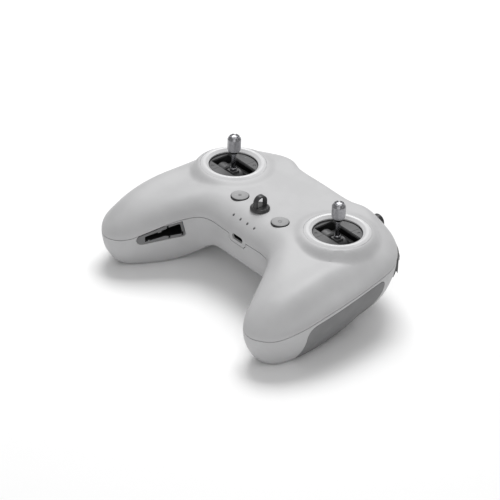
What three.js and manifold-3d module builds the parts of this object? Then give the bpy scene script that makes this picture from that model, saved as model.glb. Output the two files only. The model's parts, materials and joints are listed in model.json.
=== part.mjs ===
// Radio transmitter controller: two moulded shells round a pair of two-axis stick gimbals.
// Millimetres, +Z up, +X to the user's right, +Y away from the user.
// Every piece is drawn in a design frame whose zero is the plane of the gimbal covers, midway
// between the sticks. The whole model is then lifted so that it stands on z = 0.

import * as THREE from 'three';
import { mergeVertices } from 'three/addons/utils/BufferGeometryUtils.js';
import Module from 'manifold-3d';

const wasm = await Module();
wasm.setup();

// ---------- driving dimensions ----------

const gap = 0.3;                 // clearance between neighbouring pieces
const seam = 0.15;               // half of the gap along the parting line
const topWall = 2.2;
const bottomWall = 3.0;

// Parting line of the right half, from the middle of the far edge round the grip to the middle
// of the near edge. The left half is its mirror image.
const farEdge = [
  [0, 33, -14], [20, 33, -14], [30, 35.8, -14], [42, 36.8, -14], [55, 33.8, -14], [67, 25.6, -14],
  [75.6, 13.2, -14.6], [79, -4, -16.8], [81.6, -22, -18.6], [82.5, -40, -21.3],
  [81, -55, -25.2], [76, -68.5, -28.8],
];
const gripTip = [66, -76, -29.6];
const nearEdge = [
  [57, -75, -29.2], [50.8, -69.6, -27.8], [46.7, -62.5, -25], [42.6, -55, -21.6],
  [38.2, -47.3, -18.2], [33.6, -40.5, -15.8], [29, -36, -14.5], [23, -34, -14.1],
  [16, -33.5, -14.4], [8, -33.5, -14.6], [0, -33.5, -14.6],
];

// Height of the crown of each grip, and of its underside, against the distance from the user.
const gripCrown = [
  [-80, -21.2], [-72, -16.8], [-60, -11.8], [-45, -7.8], [-30, -5.4], [-15, -4.8], [0, -4.2],
  [16, -3], [40, -1.4],
];
const gripBelly = [
  [-80, -45], [-70, -49], [-60, -50.4], [-48, -50.6], [-25, -50.4], [-10, -49], [4, -45],
  [20, -39], [40, -34],
];
const deckHeight = -1.2;         // flat deck between the sticks
const collarHeight = 0.4;        // top of the rise round each gimbal
const keelHeight = -32;          // underside between the grips
const restPlane = -50.3;         // small flat that each grip stands on

const gimbal = {
  spacing: 45,                   // half the distance between the sticks
  opening: 14.1,
  well: 17.5,                    // radius of the hole in the top shell
  seat: 19,                      // radius of the shallow recess for the bezel
  pivotDepth: 9,                 // both axes of a stick cross this far below the cover
};

const keys = { x: 17.4, y: -17.9, radius: 4.95, top: -0.35 };
const lamps = { xs: [-8.9, -2.95, 2.95, 8.9], y: -29, radius: 0.6 };
const lanyard = {
  y: -17.8, baseRadius: 5.6, top: 7.6, thickness: 3.1, halfWidth: 4,
  eye: 2.7,                      // half the width of the hole for the strap
  eyeFloor: 1,
  hole: 3.3,                     // radius of the hole in the deck for its stem
};
const usb = { height: -14.6, halfWidth: 4.5, halfHeight: 1.65, tab: 7.2, tabDrop: 3.7 };

// Screws: place, height of the joint between the two bosses, height of the seat of the head.
const screwSites = [
  { name: 'far', x: 24, y: 27, joint: -14, seat: -26 },
  { name: 'near', x: 30, y: -28, joint: -15, seat: -31 },
  { name: 'grip', x: 62, y: -67.5, joint: -28.5, seat: -38 },
];
const screw = { head: 2.6, headHeight: 1.8, shank: 1.25, length: 10, boss: 3.5 };

const sides = [
  { name: 'left', sign: -1 },
  { name: 'right', sign: 1 },
];

// ---------- materials ----------

function finish(color, roughness, metalness = 0) {
  return new THREE.MeshStandardMaterial({ color, roughness, metalness });
}

const shellPlastic = finish(0xc4c4c5, 0.62);
const bezelPlastic = finish(0xd6d6d8, 0.42);
const keyPlastic = finish(0x9b9c9e, 0.5);
const padRubber = finish(0x808183, 0.85);
const insertRubber = finish(0x7b7b7a, 0.8);
const darkPlastic = finish(0x4c4d50, 0.55);
const gimbalPlastic = finish(0x5f6064, 0.5);
const blackPlastic = finish(0x27282a, 0.6);
const satinMetal = finish(0xb9babd, 0.32, 1);
const steel = finish(0x8f9194, 0.35, 1);
const boardGreen = finish(0x1f4a35, 0.6);
const lampGlass = finish(0xe8eef0, 0.25);
const cellWrap = finish(0x2f5f8f, 0.45);

// ---------- solids ----------

// Merges a geometry's shared vertices, drops collapsed triangles and makes it a solid.
function solid(geometry) {
  const bare = geometry.index ? geometry.toNonIndexed() : geometry.clone();
  bare.deleteAttribute('normal');
  bare.deleteAttribute('uv');
  const merged = mergeVertices(bare, 1e-4);
  const corners = merged.index.array;
  const kept = [];
  for (let i = 0; i < corners.length; i += 3) {
    const [a, b, c] = [corners[i], corners[i + 1], corners[i + 2]];
    if (a !== b && b !== c && c !== a) kept.push(a, b, c);
  }
  const mesh = new wasm.Mesh({
    numProp: 3,
    vertProperties: new Float32Array(merged.attributes.position.array),
    triVerts: new Uint32Array(kept),
  });
  return new wasm.Manifold(mesh);
}

function geometryOf(body) {
  const mesh = body.getMesh();
  const geometry = new THREE.BufferGeometry();
  geometry.setAttribute('position', new THREE.BufferAttribute(mesh.vertProperties, 3));
  geometry.setIndex(new THREE.BufferAttribute(mesh.triVerts, 1));
  geometry.computeVertexNormals();
  return geometry;
}

// Box between two corners.
function block([x0, y0, z0], [x1, y1, z1]) {
  const box = new THREE.BoxGeometry(x1 - x0, y1 - y0, z1 - z0);
  return solid(box.translate((x0 + x1) / 2, (y0 + y1) / 2, (z0 + z1) / 2));
}

// Upright cylinder from z0 to z1.
function post(radius, z0, z1, x = 0, y = 0, segments = 24) {
  const cylinder = new THREE.CylinderGeometry(radius, radius, z1 - z0, segments);
  return solid(cylinder.rotateX(Math.PI / 2).translate(x, y, (z0 + z1) / 2));
}

// Cylinder along X or Y, from one end coordinate to the other.
function pin(axis, radius, from, to, [a, b], segments = 14) {
  const cylinder = new THREE.CylinderGeometry(radius, radius, to - from, segments);
  const middle = (from + to) / 2;
  if (axis === 'x') return solid(cylinder.rotateZ(-Math.PI / 2).translate(middle, a, b));
  return solid(cylinder.translate(a, middle, b));
}

// Turned piece from a closed profile of [radius, height], listed either way round.
function turned(profile, segments = 40) {
  const points = profile.map(([r, z]) => new THREE.Vector2(r, z));
  if (THREE.ShapeUtils.area(points) < 0) points.reverse();
  points.push(points[0].clone());
  return solid(new THREE.LatheGeometry(points, segments).rotateX(Math.PI / 2));
}

// Rectangle with rounded corners, centred on the origin.
function roundedRectangle(halfWidth, halfHeight, radius) {
  const shape = new THREE.Shape();
  const x = halfWidth - radius;
  const y = halfHeight - radius;
  shape.absarc(x, y, radius, 0, Math.PI / 2);
  shape.absarc(-x, y, radius, Math.PI / 2, Math.PI);
  shape.absarc(-x, -y, radius, Math.PI, 1.5 * Math.PI);
  shape.absarc(x, -y, radius, 1.5 * Math.PI, 2 * Math.PI);
  return shape;
}

function extruded(shape, depth, curveSegments = 5) {
  return new THREE.ExtrudeGeometry(shape, { depth, bevelEnabled: false, curveSegments });
}

// Plate of a shape drawn in X-Y, from z0 to z1.
function plate(shape, z0, z1, curveSegments) {
  return solid(extruded(shape, z1 - z0, curveSegments).translate(0, 0, z0));
}

// Plug of a shape drawn in X-Z, running along Y from y0 to y1.
function plug(shape, y0, y1, curveSegments) {
  const geometry = extruded(shape, y1 - y0, curveSegments);
  return solid(geometry.rotateX(Math.PI / 2).translate(0, y1, 0));
}

function moved(body, matrix) {
  return solid(geometryOf(body).applyMatrix4(matrix));
}

function mirrored(body) {
  const mesh = body.getMesh();
  const vertices = mesh.vertProperties.map((value, i) => (i % 3 === 0 ? -value : value));
  const corners = mesh.triVerts.slice();
  for (let i = 0; i < corners.length; i += 3) {
    corners[i + 1] = mesh.triVerts[i + 2];
    corners[i + 2] = mesh.triVerts[i + 1];
  }
  return new wasm.Manifold(new wasm.Mesh({ numProp: 3, vertProperties: vertices, triVerts: corners }));
}

// A body drawn on the right side, carried over to the side asked for.
function onSide(body, sign) {
  return sign > 0 ? body : mirrored(body);
}

// ---------- outer form ----------

const outlinePoints = [...farEdge, gripTip, ...nearEdge].map((p) => new THREE.Vector3(...p));
const outline = new THREE.CatmullRomCurve3(outlinePoints, false, 'catmullrom', 0.5);
const outlineSamples = Array.from({ length: 301 }, (_, i) => outline.getPoint(i / 300));

function smooth(from, to, value) {
  return THREE.MathUtils.smoothstep(value, from, to);
}

function falling(from, to, value) {
  return 1 - THREE.MathUtils.smoothstep(value, from, to);
}

// Smooth curve through a table of [place, height].
function heightAlong(table, at) {
  const last = table.length - 1;
  let i = 0;
  while (i < last - 1 && at > table[i + 1][0]) i += 1;
  const slope = (k) => {
    const a = table[Math.max(k - 1, 0)];
    const b = table[Math.min(k + 1, last)];
    return (b[1] - a[1]) / (b[0] - a[0]);
  };
  const [x0, y0] = table[i];
  const [x1, y1] = table[i + 1];
  const span = x1 - x0;
  const t = (at - x0) / span;
  const rise = t * t * (3 - 2 * t);
  return y0 + (y1 - y0) * rise
    + span * (slope(i) * t * (1 - t) ** 2 - slope(i + 1) * t * t * (1 - t));
}

// Distance in plan from a point to the outline.
function edgeDistance(x, y) {
  let best = Infinity;
  for (let i = 1; i < outlineSamples.length; i += 1) {
    const a = outlineSamples[i - 1];
    const b = outlineSamples[i];
    const dx = b.x - a.x;
    const dy = b.y - a.y;
    const along = ((x - a.x) * dx + (y - a.y) * dy) / (dx * dx + dy * dy);
    const t = THREE.MathUtils.clamp(along, 0, 1);
    best = Math.min(best, Math.hypot(x - a.x - t * dx, y - a.y - t * dy));
  }
  return best;
}

// Height of the top skin. across runs from 0 at the near edge to 1 at the far edge.
function topHeight(x, y, parting, across, inset) {
  const { lerp, clamp } = THREE.MathUtils;
  const outward = smooth(26, 58, x);
  const grip = falling(-30, 0, y) * outward;
  const farSide = smooth(5, 25, y);
  const round = 16 + grip * (8 * across - 1) - farSide * (9.5 - 14 * smooth(30, 58, x)) - inset;
  const rise = falling(19.5, 25, Math.hypot(x - gimbal.spacing, y));
  const plain = lerp(deckHeight, heightAlong(gripCrown, y), outward);
  const crown = lerp(plain, collarHeight, rise) - inset;
  const t = clamp((edgeDistance(x, y) - inset) / round, 0, 1);
  const arc = Math.sqrt(1 - (1 - t) ** 2);
  const flare = t * t * (3 - 2 * t);
  const flared = 0.4 * smooth(0.55, 0.9, across) * falling(0, 20, y) * smooth(-78, -55, y) * outward;
  return parting + (crown - parting) * lerp(arc, flare, flared);
}

// Height of the bottom skin.
function bottomHeight(x, y, parting, across, inset) {
  const outward = smooth(20, 52, x);
  const floor = THREE.MathUtils.lerp(keelHeight, heightAlong(gripBelly, y), outward) + inset;
  const outer = (6 + 12 * smooth(-62, -12, y) * falling(-6, 14, y)) * smooth(0.5, 1, across);
  const round = 5 + outward * (8 + outer) - Math.min(inset, 2);
  const t = THREE.MathUtils.clamp((edgeDistance(x, y) - inset) / round, 0, 1);
  return parting + (floor - parting) * Math.sqrt(1 - (1 - t) ** 2);
}

const rowsPerHalf = 16;
const columns = 8;

// A point of the outline, moved square to it into the body by the inset.
function insetPoint(at, inset) {
  const point = outline.getPoint(at);
  const tangent = outline.getTangent(at);
  const length = Math.hypot(tangent.x, tangent.y);
  point.x += (inset * tangent.y) / length;
  point.y -= (inset * tangent.x) / length;
  if (at === 0 || at === 1) point.x = 0;
  return point;
}

// Grid of points over one skin: straight lines across the body, from the near edge to the far one.
function skin(heightOf, inset, lift) {
  const turn = farEdge.length / (outlinePoints.length - 1);
  const half = [];
  for (let i = 0; i <= rowsPerHalf; i += 1) {
    const along = 1 - (1 - i / rowsPerHalf) ** 1.6;
    const far = insetPoint(along * turn, inset);
    const near = insetPoint(1 - along * (1 - turn), inset);
    const row = [];
    for (let j = 0; j <= columns; j += 1) {
      const across = 0.5 - 0.5 * Math.cos((Math.PI * j) / columns);
      const point = near.clone().lerp(far, across);
      const onEdge = j === 0 || j === columns || i === rowsPerHalf;
      const height = onEdge ? point.z : heightOf(point.x, point.y, point.z, across, inset);
      row.push([point.x, point.y, height + lift]);
    }
    half.push(row);
  }
  const left = half.slice(1).reverse().map((row) => row.map(([x, y, z]) => [-x, y, z]));
  return [...left, ...half];
}

function quad(list, a, b, c, d) {
  list.push(...a, ...b, ...c, ...a, ...c, ...d);
}

// Closes two skins that share their outline, the upper one facing up and the lower one down.
function between(upper, lower) {
  const triangles = [];
  const lastRow = upper.length - 1;
  for (let i = 0; i < lastRow; i += 1) {
    for (let j = 0; j < columns; j += 1) {
      quad(triangles, upper[i][j], upper[i + 1][j], upper[i + 1][j + 1], upper[i][j + 1]);
      quad(triangles, lower[i][j], lower[i][j + 1], lower[i + 1][j + 1], lower[i + 1][j]);
    }
    quad(triangles, upper[i][0], lower[i][0], lower[i + 1][0], upper[i + 1][0]);
    quad(triangles, upper[i][columns], upper[i + 1][columns], lower[i + 1][columns], lower[i][columns]);
  }
  const geometry = new THREE.BufferGeometry();
  geometry.setAttribute('position', new THREE.Float32BufferAttribute(triangles, 3));
  return solid(geometry);
}

// The whole form, drawn in by an inset, or swollen by a negative one.
function wholeForm(inset) {
  return between(skin(topHeight, inset, 0), skin(bottomHeight, inset, 0));
}

// Upper or lower part of the form: a skin closed by the parting surface.
function upperForm(inset, lift) {
  return between(skin(topHeight, inset, lift), skin((x, y, parting) => parting, inset, lift));
}

function lowerForm(inset, lift) {
  return between(skin((x, y, parting) => parting, inset, lift), skin(bottomHeight, inset, lift));
}

// A skin of the form between two depths.
function rind(outer, inner) {
  return wholeForm(outer).subtract(wholeForm(inner));
}

// ---------- places on the body ----------

// Stations on the far shoulder: a point of the outline at a given x, sunk into the body, with
// local +Y pointing out.
function shoulderStation(x, height, sunk, sign) {
  const found = outlineSamples.findIndex((p) => p.x >= x);
  const a = outlineSamples[found - 1];
  const b = outlineSamples[found];
  const at = new THREE.Vector3().lerpVectors(a, b, (x - a.x) / (b.x - a.x));
  const turn = Math.atan2(b.y - a.y, b.x - a.x);
  const group = new THREE.Group();
  group.position.set(sign * at.x, at.y, height);
  group.rotation.z = sign * turn;
  group.translateY(-sunk);
  group.updateMatrix();
  return group;
}

const controls = {
  left: {
    dial: shoulderStation(43, -18.6, 0, -1),
    button: shoulderStation(61.5, -19.6, 0.4, -1),
    toggle: shoulderStation(49, -24.4, 2.2, -1),
  },
  right: {
    button: shoulderStation(38.5, -9.4, 2.2, 1),
    slider: shoulderStation(60, -19.4, 0.4, 1),
    toggle: shoulderStation(45, -19.4, 0.6, 1),
  },
};

const dial = { radius: 9, width: 6.4, sunk: 6.6 };
const shoulderKey = { radius: 4.4, proud: 2.6 };
const slider = { halfLength: 2.6, halfHeight: 1.9, proud: 2, travel: 2.4 };
const toggle = { halfLength: 2.4, halfHeight: 1.3, proud: 2.4, travel: 1.6 };

// Window that each shoulder control needs in its panel, in the station's own frame.
const windowDepth = 7;
function dialWindow() {
  return plug(roundedRectangle(9.3, dial.width / 2 + gap + 0.1, 1), -windowDepth, windowDepth);
}

function keyWindow() {
  return pin('y', shoulderKey.radius + gap + 0.1, -windowDepth, windowDepth, [0, 0], 20);
}

function sliderWindow({ halfLength, halfHeight, travel }) {
  const shape = roundedRectangle(halfLength + travel + gap, halfHeight + gap, 1);
  return plug(shape, -windowDepth, windowDepth);
}

// ---------- assembly helpers ----------

const model = new THREE.Group();

function add(name, body, material, group = model) {
  const mesh = new THREE.Mesh(geometryOf(body), material);
  mesh.name = name;
  group.add(mesh);
}

// ---------- shoulder panels ----------

const panel = { thickness: 1.8, proud: 0.8, inner: 32, outer: 69.5, low: -27.6, high: -14.45 };

// Space of a panel on the right shoulder, grown by an allowance; the cut for it in the shell is
// open upwards, to the parting line.
function shoulderSpace(grow) {
  const { inner, outer, low, high } = panel;
  return block([inner - grow, 10, low - grow], [outer + grow, 60, high + 5 * grow]);
}

function shoulderPanel({ name, sign }) {
  let body = rind(-panel.proud, panel.thickness).intersect(onSide(shoulderSpace(0), sign));
  const station = controls[name];
  const cuts = name === 'left'
    ? [[station.dial, dialWindow()], [station.button, keyWindow()]]
    : [[station.slider, sliderWindow(slider)]];
  cuts.push([station.toggle, sliderWindow(toggle)]);
  for (const [group, cut] of cuts) body = body.subtract(moved(cut, group.matrix));
  return body;
}

// ---------- grip pads and storage inserts ----------

const padThickness = 1.6;

// Outline of a grip pad in Y-Z, seen from the side, with its top edge under the parting line.
function padShape(grow) {
  const shape = new THREE.Shape();
  const topFar = [4.5 + grow, -17.9 + grow];
  shape.moveTo(...topFar);
  shape.quadraticCurveTo(-24, -20.2 + grow, -44, -24.4 + grow);
  shape.quadraticCurveTo(-49.5 - grow, -25.8 + grow, -50 - grow, -31);
  shape.quadraticCurveTo(-50 - grow, -42, -51.5 - grow, -46);
  shape.lineTo(-51.5 - grow, -60);
  shape.lineTo(-12 + grow, -60);
  shape.quadraticCurveTo(grow, -48, 6 + grow, -32);
  shape.quadraticCurveTo(10.5 + grow, -18.6 + grow, ...topFar);
  return shape;
}

// Sideways prism of a Y-Z shape, from the flank x0 out to x1.
function sideways(shape, x0, x1) {
  const geometry = extruded(shape, x1 - x0, 4);
  return solid(geometry.rotateX(Math.PI / 2).rotateZ(Math.PI / 2).translate(x0, 0, 0));
}

function padSpace(grow) {
  const keepAboveFloor = block([0, -90, -49.6 - grow], [100, 40, 0]);
  return sideways(padShape(grow), 64 - grow, 95).intersect(keepAboveFloor);
}

function gripPad({ sign }) {
  return onSide(rind(0, padThickness).intersect(padSpace(0)), sign);
}

// A storage insert lies along the inner flank of a grip. Its frame has +X along the flank
// towards the tip and +Y into the grip.
const insert = { x: 40.6, y: -48, height: -26.6, depth: 10, lean: THREE.MathUtils.degToRad(14) };
const [tipEnd, middleEnd] = [nearEdge[1], nearEdge[5]];
const insertHeading = Math.atan2(tipEnd[1] - middleEnd[1], tipEnd[0] - middleEnd[0]);

function insertMatrix() {
  const matrix = new THREE.Matrix4().makeRotationZ(insertHeading);
  matrix.multiply(new THREE.Matrix4().makeRotationY(insert.lean));
  return matrix.setPosition(insert.x, insert.y, insert.height);
}

// Face of the insert in its own X-Z: a blunt end towards the middle and a pointed one at the tip.
function insertShape(grow) {
  const shape = new THREE.Shape();
  shape.moveTo(-8 - grow, 7 + grow);
  shape.lineTo(14, 6 + grow);
  shape.quadraticCurveTo(20.5 + grow, 4.4 + grow, 19 + grow, 0.7);
  shape.quadraticCurveTo(18 + grow, -1.1 - grow, 14, -1.2 - grow);
  shape.lineTo(-5.6, -2.9 - grow);
  shape.quadraticCurveTo(-8 - grow, -3.1 - grow, -8 - grow, -0.8);
  shape.closePath();
  return shape;
}

// Slot for a spare stick: a wide end for the knob and a narrow one for the shaft.
function slotShape() {
  const shape = new THREE.Shape();
  shape.moveTo(-6.6, 6);
  shape.lineTo(0.6, 5.4);
  shape.lineTo(4, 3.8);
  shape.lineTo(14.5, 3.5);
  shape.lineTo(14.5, 0.9);
  shape.lineTo(4, 0.7);
  shape.lineTo(1, -0.4);
  shape.lineTo(-6.6, -1);
  shape.closePath();
  return shape;
}

function insertSpace(grow) {
  return moved(plug(insertShape(grow), -12, insert.depth + grow, 3), insertMatrix());
}

function storageInsert({ sign }) {
  const slot = moved(plug(slotShape(), -12, insert.depth - 2.5), insertMatrix());
  const body = wholeForm(0).intersect(insertSpace(0)).intersect(lowerForm(0, -seam - gap));
  return onSide(body.subtract(slot), sign);
}

// ---------- shells ----------

function screwBosses(upper) {
  const bosses = [];
  for (const site of screwSites) {
    for (const { sign } of sides) {
      const x = sign * site.x;
      if (upper) {
        const outer = post(screw.boss, site.joint + gap, 5, x, site.y, 10);
        bosses.push(outer.subtract(post(screw.shank + gap, site.joint, site.seat + 14, x, site.y, 8)));
      } else {
        bosses.push(post(screw.boss + 1, -60, site.joint, x, site.y, 10));
      }
    }
  }
  return bosses;
}

function topShell() {
  let shell = upperForm(0, seam).subtract(upperForm(topWall, 0).add(lowerForm(topWall, 0.01)));
  for (const boss of screwBosses(true)) shell = shell.add(boss.intersect(upperForm(0.4, seam)));
  const tabSpace = block([-usb.tab, -40, usb.height - usb.tabDrop], [usb.tab, -20, usb.height + 0.6]);
  shell = shell.add(rind(0, topWall).intersect(tabSpace));
  const portHole = plug(roundedRectangle(usb.halfWidth, usb.halfHeight, 1.5), -45, -22);
  shell = shell.subtract(moved(portHole, new THREE.Matrix4().setPosition(0, 0, usb.height)));
  shell = shell.subtract(post(lanyard.hole, -12, 5, 0, lanyard.y));
  for (const x of lamps.xs) shell = shell.subtract(post(lamps.radius + 0.15, -12, 5, x, lamps.y, 8));
  for (const { sign } of sides) {
    shell = shell.subtract(post(gimbal.well, -14, 5, sign * gimbal.spacing, 0, 28));
    shell = shell.subtract(post(gimbal.seat, 0.1, 5, sign * gimbal.spacing, 0, 28));
    shell = shell.subtract(post(keys.radius + gap + 0.05, -14, 5, sign * keys.x, keys.y));
  }
  const flangeRoom = pin('y', shoulderKey.radius + 1.5, -10, -5.3, [0, 0], 20);
  return shell.subtract(moved(keyWindow().add(flangeRoom), controls.right.button.matrix));
}

function bottomShell() {
  let shell = lowerForm(0, -seam).subtract(lowerForm(bottomWall, 0).add(upperForm(bottomWall, -0.01)));
  for (const boss of screwBosses(false)) shell = shell.add(boss.intersect(lowerForm(0.4, -seam)));
  const tabDrop = usb.height - usb.tabDrop - gap;
  shell = shell.subtract(block([-usb.tab - gap, -40, tabDrop], [usb.tab + gap, -27, -10]));
  for (const { sign } of sides) {
    for (const site of screwSites) {
      const x = sign * site.x;
      shell = shell.subtract(post(screw.head + gap, -60, site.seat, x, site.y, 12));
      shell = shell.subtract(post(screw.shank + gap, -60, 0, x, site.y, 8));
    }
    const recess = rind(-1, padThickness + gap).intersect(padSpace(gap));
    shell = shell.subtract(onSide(recess, sign));
    shell = shell.subtract(onSide(insertSpace(gap), sign));
    shell = shell.subtract(onSide(shoulderSpace(gap), sign).intersect(rind(-1, bottomWall + 2)));
  }
  return shell.subtract(block([-90, -90, -60], [90, 60, restPlane]));
}

function makeShells() {
  add('top_shell', topShell(), shellPlastic);
  add('bottom_shell', bottomShell(), shellPlastic);
  for (const side of sides) {
    add(`${side.name}_shoulder_panel`, shoulderPanel(side), darkPlastic);
    add(`${side.name}_grip_pad`, gripPad(side), padRubber);
    add(`${side.name}_storage_insert`, storageInsert(side), insertRubber);
    for (const site of screwSites) {
      const shank = post(screw.shank, site.seat - 0.1, site.seat + screw.length, 0, 0, 8);
      const head = post(screw.head, site.seat - screw.headHeight - gap, site.seat - gap, 0, 0, 12);
      const socket = post(1.2, site.seat - screw.headHeight - 1, site.seat - 1.2, 0, 0, 6);
      const neck = post(screw.shank, site.seat - gap - 0.1, site.seat, 0, 0, 8);
      const group = new THREE.Group();
      group.position.set(side.sign * site.x, site.y, 0);
      model.add(group);
      const body = head.add(neck).add(shank).subtract(socket);
      add(`${side.name}_${site.name}_screw`, body, steel, group);
    }
  }
}

// ---------- deck: lanyard post, keys and lamps ----------

function makeLanyardPost() {
  const { halfWidth, eye: eyeRadius, eyeFloor, baseRadius } = lanyard;
  const base = turned([
    [0, -4.8], [3, -4.8], [3, -0.8], [baseRadius, -0.8], [baseRadius, 0],
    [baseRadius - 0.7, 0.7], [0, 0.7],
  ], 24);
  const arcCentre = lanyard.top - halfWidth;
  const arch = new THREE.Shape();
  arch.moveTo(-halfWidth - 0.5, 0.2);
  arch.lineTo(halfWidth + 0.5, 0.2);
  arch.lineTo(halfWidth, 1.6);
  arch.lineTo(halfWidth, arcCentre);
  arch.absarc(0, arcCentre, halfWidth, 0, Math.PI);
  arch.lineTo(-halfWidth, 1.6);
  arch.closePath();
  const eye = new THREE.Path();
  eye.moveTo(-eyeRadius, eyeFloor);
  eye.lineTo(-eyeRadius, arcCentre);
  eye.absarc(0, arcCentre, eyeRadius, Math.PI, 0, true);
  eye.lineTo(eyeRadius, eyeFloor);
  eye.closePath();
  arch.holes.push(eye);
  const loop = plug(arch, -lanyard.thickness / 2, lanyard.thickness / 2, 10);
  const across = moved(loop, new THREE.Matrix4().makeRotationZ(Math.PI / 2));
  const group = new THREE.Group();
  group.position.set(0, lanyard.y, 0);
  model.add(group);
  add('lanyard_post', base.add(across), darkPlastic, group);
}

function makeKeys() {
  const r = keys.radius;
  const cap = turned([
    [0, -6.8], [1.4, -6.8], [1.4, -5.8], [r + 1, -5.8], [r + 1, -5.2],
    [r, -5.2], [r, keys.top - 0.5], [r - 0.5, keys.top], [0, keys.top + 0.25],
  ], 22);
  for (const { name, x } of [{ name: 'power_button', x: keys.x }, { name: 'function_button', x: -keys.x }]) {
    const group = new THREE.Group();
    group.position.set(x, keys.y, 0);
    model.add(group);
    add(name, cap, keyPlastic, group);
    const dome = turned([[0, -9], [2.6, -9], [2.6, -8.5], [1, -7.6], [0, -7.6]], 14);
    add(name.replace('button', 'dome_switch'), dome, steel, group);
  }
}

function makeLightGuide() {
  let guide = block([-10, lamps.y - 0.6, -11.4], [10, lamps.y + 0.9, -10.4]);
  for (const x of lamps.xs) guide = guide.add(post(lamps.radius, -10.6, -5.45, x, lamps.y, 8));
  add('led_light_guide', guide, lampGlass);
}

// ---------- inside ----------

function makeElectronics() {
  const boardTop = usb.height - usb.halfHeight;
  const board = block([-19, -28.6, boardTop - 1.6], [19, 22, boardTop]);
  const wing = block([-26.5, -20, boardTop - 1.6], [26.5, 16, boardTop]);
  add('main_board', board.add(wing), boardGreen);
  const keyBoard = block([-24, -24, -10.4], [24, -9, -9.3]);
  const guideNotch = block([-3.4, -22, -12], [3.4, -14, -8]);
  add('key_board', keyBoard.subtract(guideNotch), boardGreen);

  const shellOut = plug(roundedRectangle(usb.halfWidth - gap, usb.halfHeight - gap, 1.2), -32.4, -25, 4);
  const shellIn = plug(roundedRectangle(3.95, 1.1, 1), -33, -26.4, 4);
  const tongue = block([-3.3, -31.8, -0.3], [3.3, -26, 0.3]);
  const port = shellOut.subtract(shellIn).add(tongue);
  add('usb_c_port', moved(port, new THREE.Matrix4().setPosition(0, 0, usb.height)), steel);

  add('radio_module', block([-13, -4, boardTop + gap], [9, 14, boardTop + 3]), steel);
  const buzzerTop = boardTop - 1.6 - gap;
  add('buzzer', post(5, buzzerTop - 4, buzzerTop, 9, 6), blackPlastic);
  for (const { name, sign } of sides) {
    const antenna = block([3, 25.4, -24], [17, 26.6, -12]);
    add(`${name}_antenna`, onSide(antenna, sign), boardGreen);
    const cell = pin('y', 8, -52, -13, [sign * 62, -34.2], 20);
    add(`${name}_battery_cell`, cell, cellWrap);
  }
}

// ---------- gimbals ----------

function gimbalBezel() {
  const r = gimbal.opening;
  return turned([
    [r, -0.6], [r, 0], [r + 1.5, 1.2], [r + 2.7, 1.7], [r + 3.9, 1.4], [r + 4.6, 0.5],
    [r + 3.1, 0.4], [r + 3.1, -4.2], [r + 1.1, -4.2], [r + 1.1, -0.6],
  ], 28);
}

function gimbalCover() {
  const disc = post(gimbal.opening + 0.8, -2.4, -0.9, 0, 0, 32);
  return disc.subtract(plate(roundedRectangle(12, 6.6, 0.8), -5, 2, 3));
}

const cup = { wall: 13.4, rim: 14.9, outer: 17, floor: -24 };

function gimbalFrame() {
  const body = turned([
    [cup.wall, -2.7], [cup.rim, -2.7], [cup.rim, -4.6], [cup.outer, -4.6],
    [cup.outer, cup.floor], [0, cup.floor], [0, cup.floor + 2], [cup.wall, cup.floor + 2],
  ], 24);
  const bore = pin('x', yoke.pin + gap, -20, 20, [0, -gimbal.pivotDepth], 16);
  return body.subtract(bore);
}

const yoke = { halfX: 10.5, halfY: 7.6, innerX: 7.3, innerY: 5.3, half: 2.9, pin: 1.7, pinEnd: 16 };

// Outer saddle: turns about X in the frame and carries the stick's own axle along Y.
function gimbalYoke() {
  const z = -gimbal.pivotDepth;
  const ring = block([-yoke.halfX, -yoke.halfY, z - yoke.half], [yoke.halfX, yoke.halfY, z + yoke.half]);
  const inside = block([-yoke.innerX, -yoke.innerY, z - 9], [yoke.innerX, yoke.innerY, z + 9]);
  const bores = pin('y', axle.radius + gap, -12, 12, [0, z], 16);
  const pins = pin('x', yoke.pin, -yoke.pinEnd, -yoke.innerX - 1, [0, z])
    .add(pin('x', yoke.pin, yoke.innerX + 1, yoke.pinEnd, [0, z]));
  const boss = pin('x', 3.4, -yoke.halfX - 1, -yoke.innerX, [0, z], 20);
  return ring.add(boss).subtract(inside).subtract(bores).add(pins);
}

const axle = { radius: 1.5, end: 7.3 };

// Block that turns about Y in the saddle, with its axle and the square socket of the stick.
function stickCarrier() {
  const z = -gimbal.pivotDepth;
  const body = pin('y', 4.4, -4.9, 4.9, [0, z], 20);
  const socket = block([-2.6, -2.6, z], [2.6, 2.6, z + 5.4]);
  const bore = post(stick.shaft + gap, z + 0.5, 5, 0, 0, 16);
  return body.add(socket).add(pin('y', axle.radius, -axle.end, axle.end, [0, z])).subtract(bore);
}

const stick = { shaft: 1.4, collar: 2, knob: 3.9, knobLow: 7.4, top: 18.4 };

function stickShaft() {
  return post(stick.shaft, -gimbal.pivotDepth + 0.8, 14, 0, 0, 16);
}

function stickCollar() {
  const low = -gimbal.pivotDepth + 5.4 + gap;
  const inner = stick.shaft + gap;
  return turned([
    [inner, low], [stick.collar, low], [stick.collar, low + 1], [inner + 0.2, low + 1.4], [inner, low + 1.4],
  ], 18);
}

// Knob with a tapered underside, a dished crown and eight teeth round its rim.
function stickKnob() {
  const { knob, knobLow, top, shaft } = stick;
  const body = turned([
    [shaft + gap, knobLow], [2.2, knobLow], [knob - 0.1, knobLow + 2.2], [knob, knobLow + 3],
    [knob, top - 1.6], [knob - 0.8, top - 0.3], [2.6, top], [2.2, top - 1], [0, top - 1.4],
    [0, 14 + gap], [shaft + gap, 14 + gap],
  ], 20);
  const teeth = 8;
  let knurled = body;
  for (let i = 0; i < teeth; i += 1) {
    const notch = pin('x', 0.55, 1.6, 6, [0, top + 0.1], 6);
    const turn = new THREE.Matrix4().makeRotationZ((2 * Math.PI * i) / teeth);
    knurled = knurled.subtract(moved(notch, turn));
  }
  return knurled;
}

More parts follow.
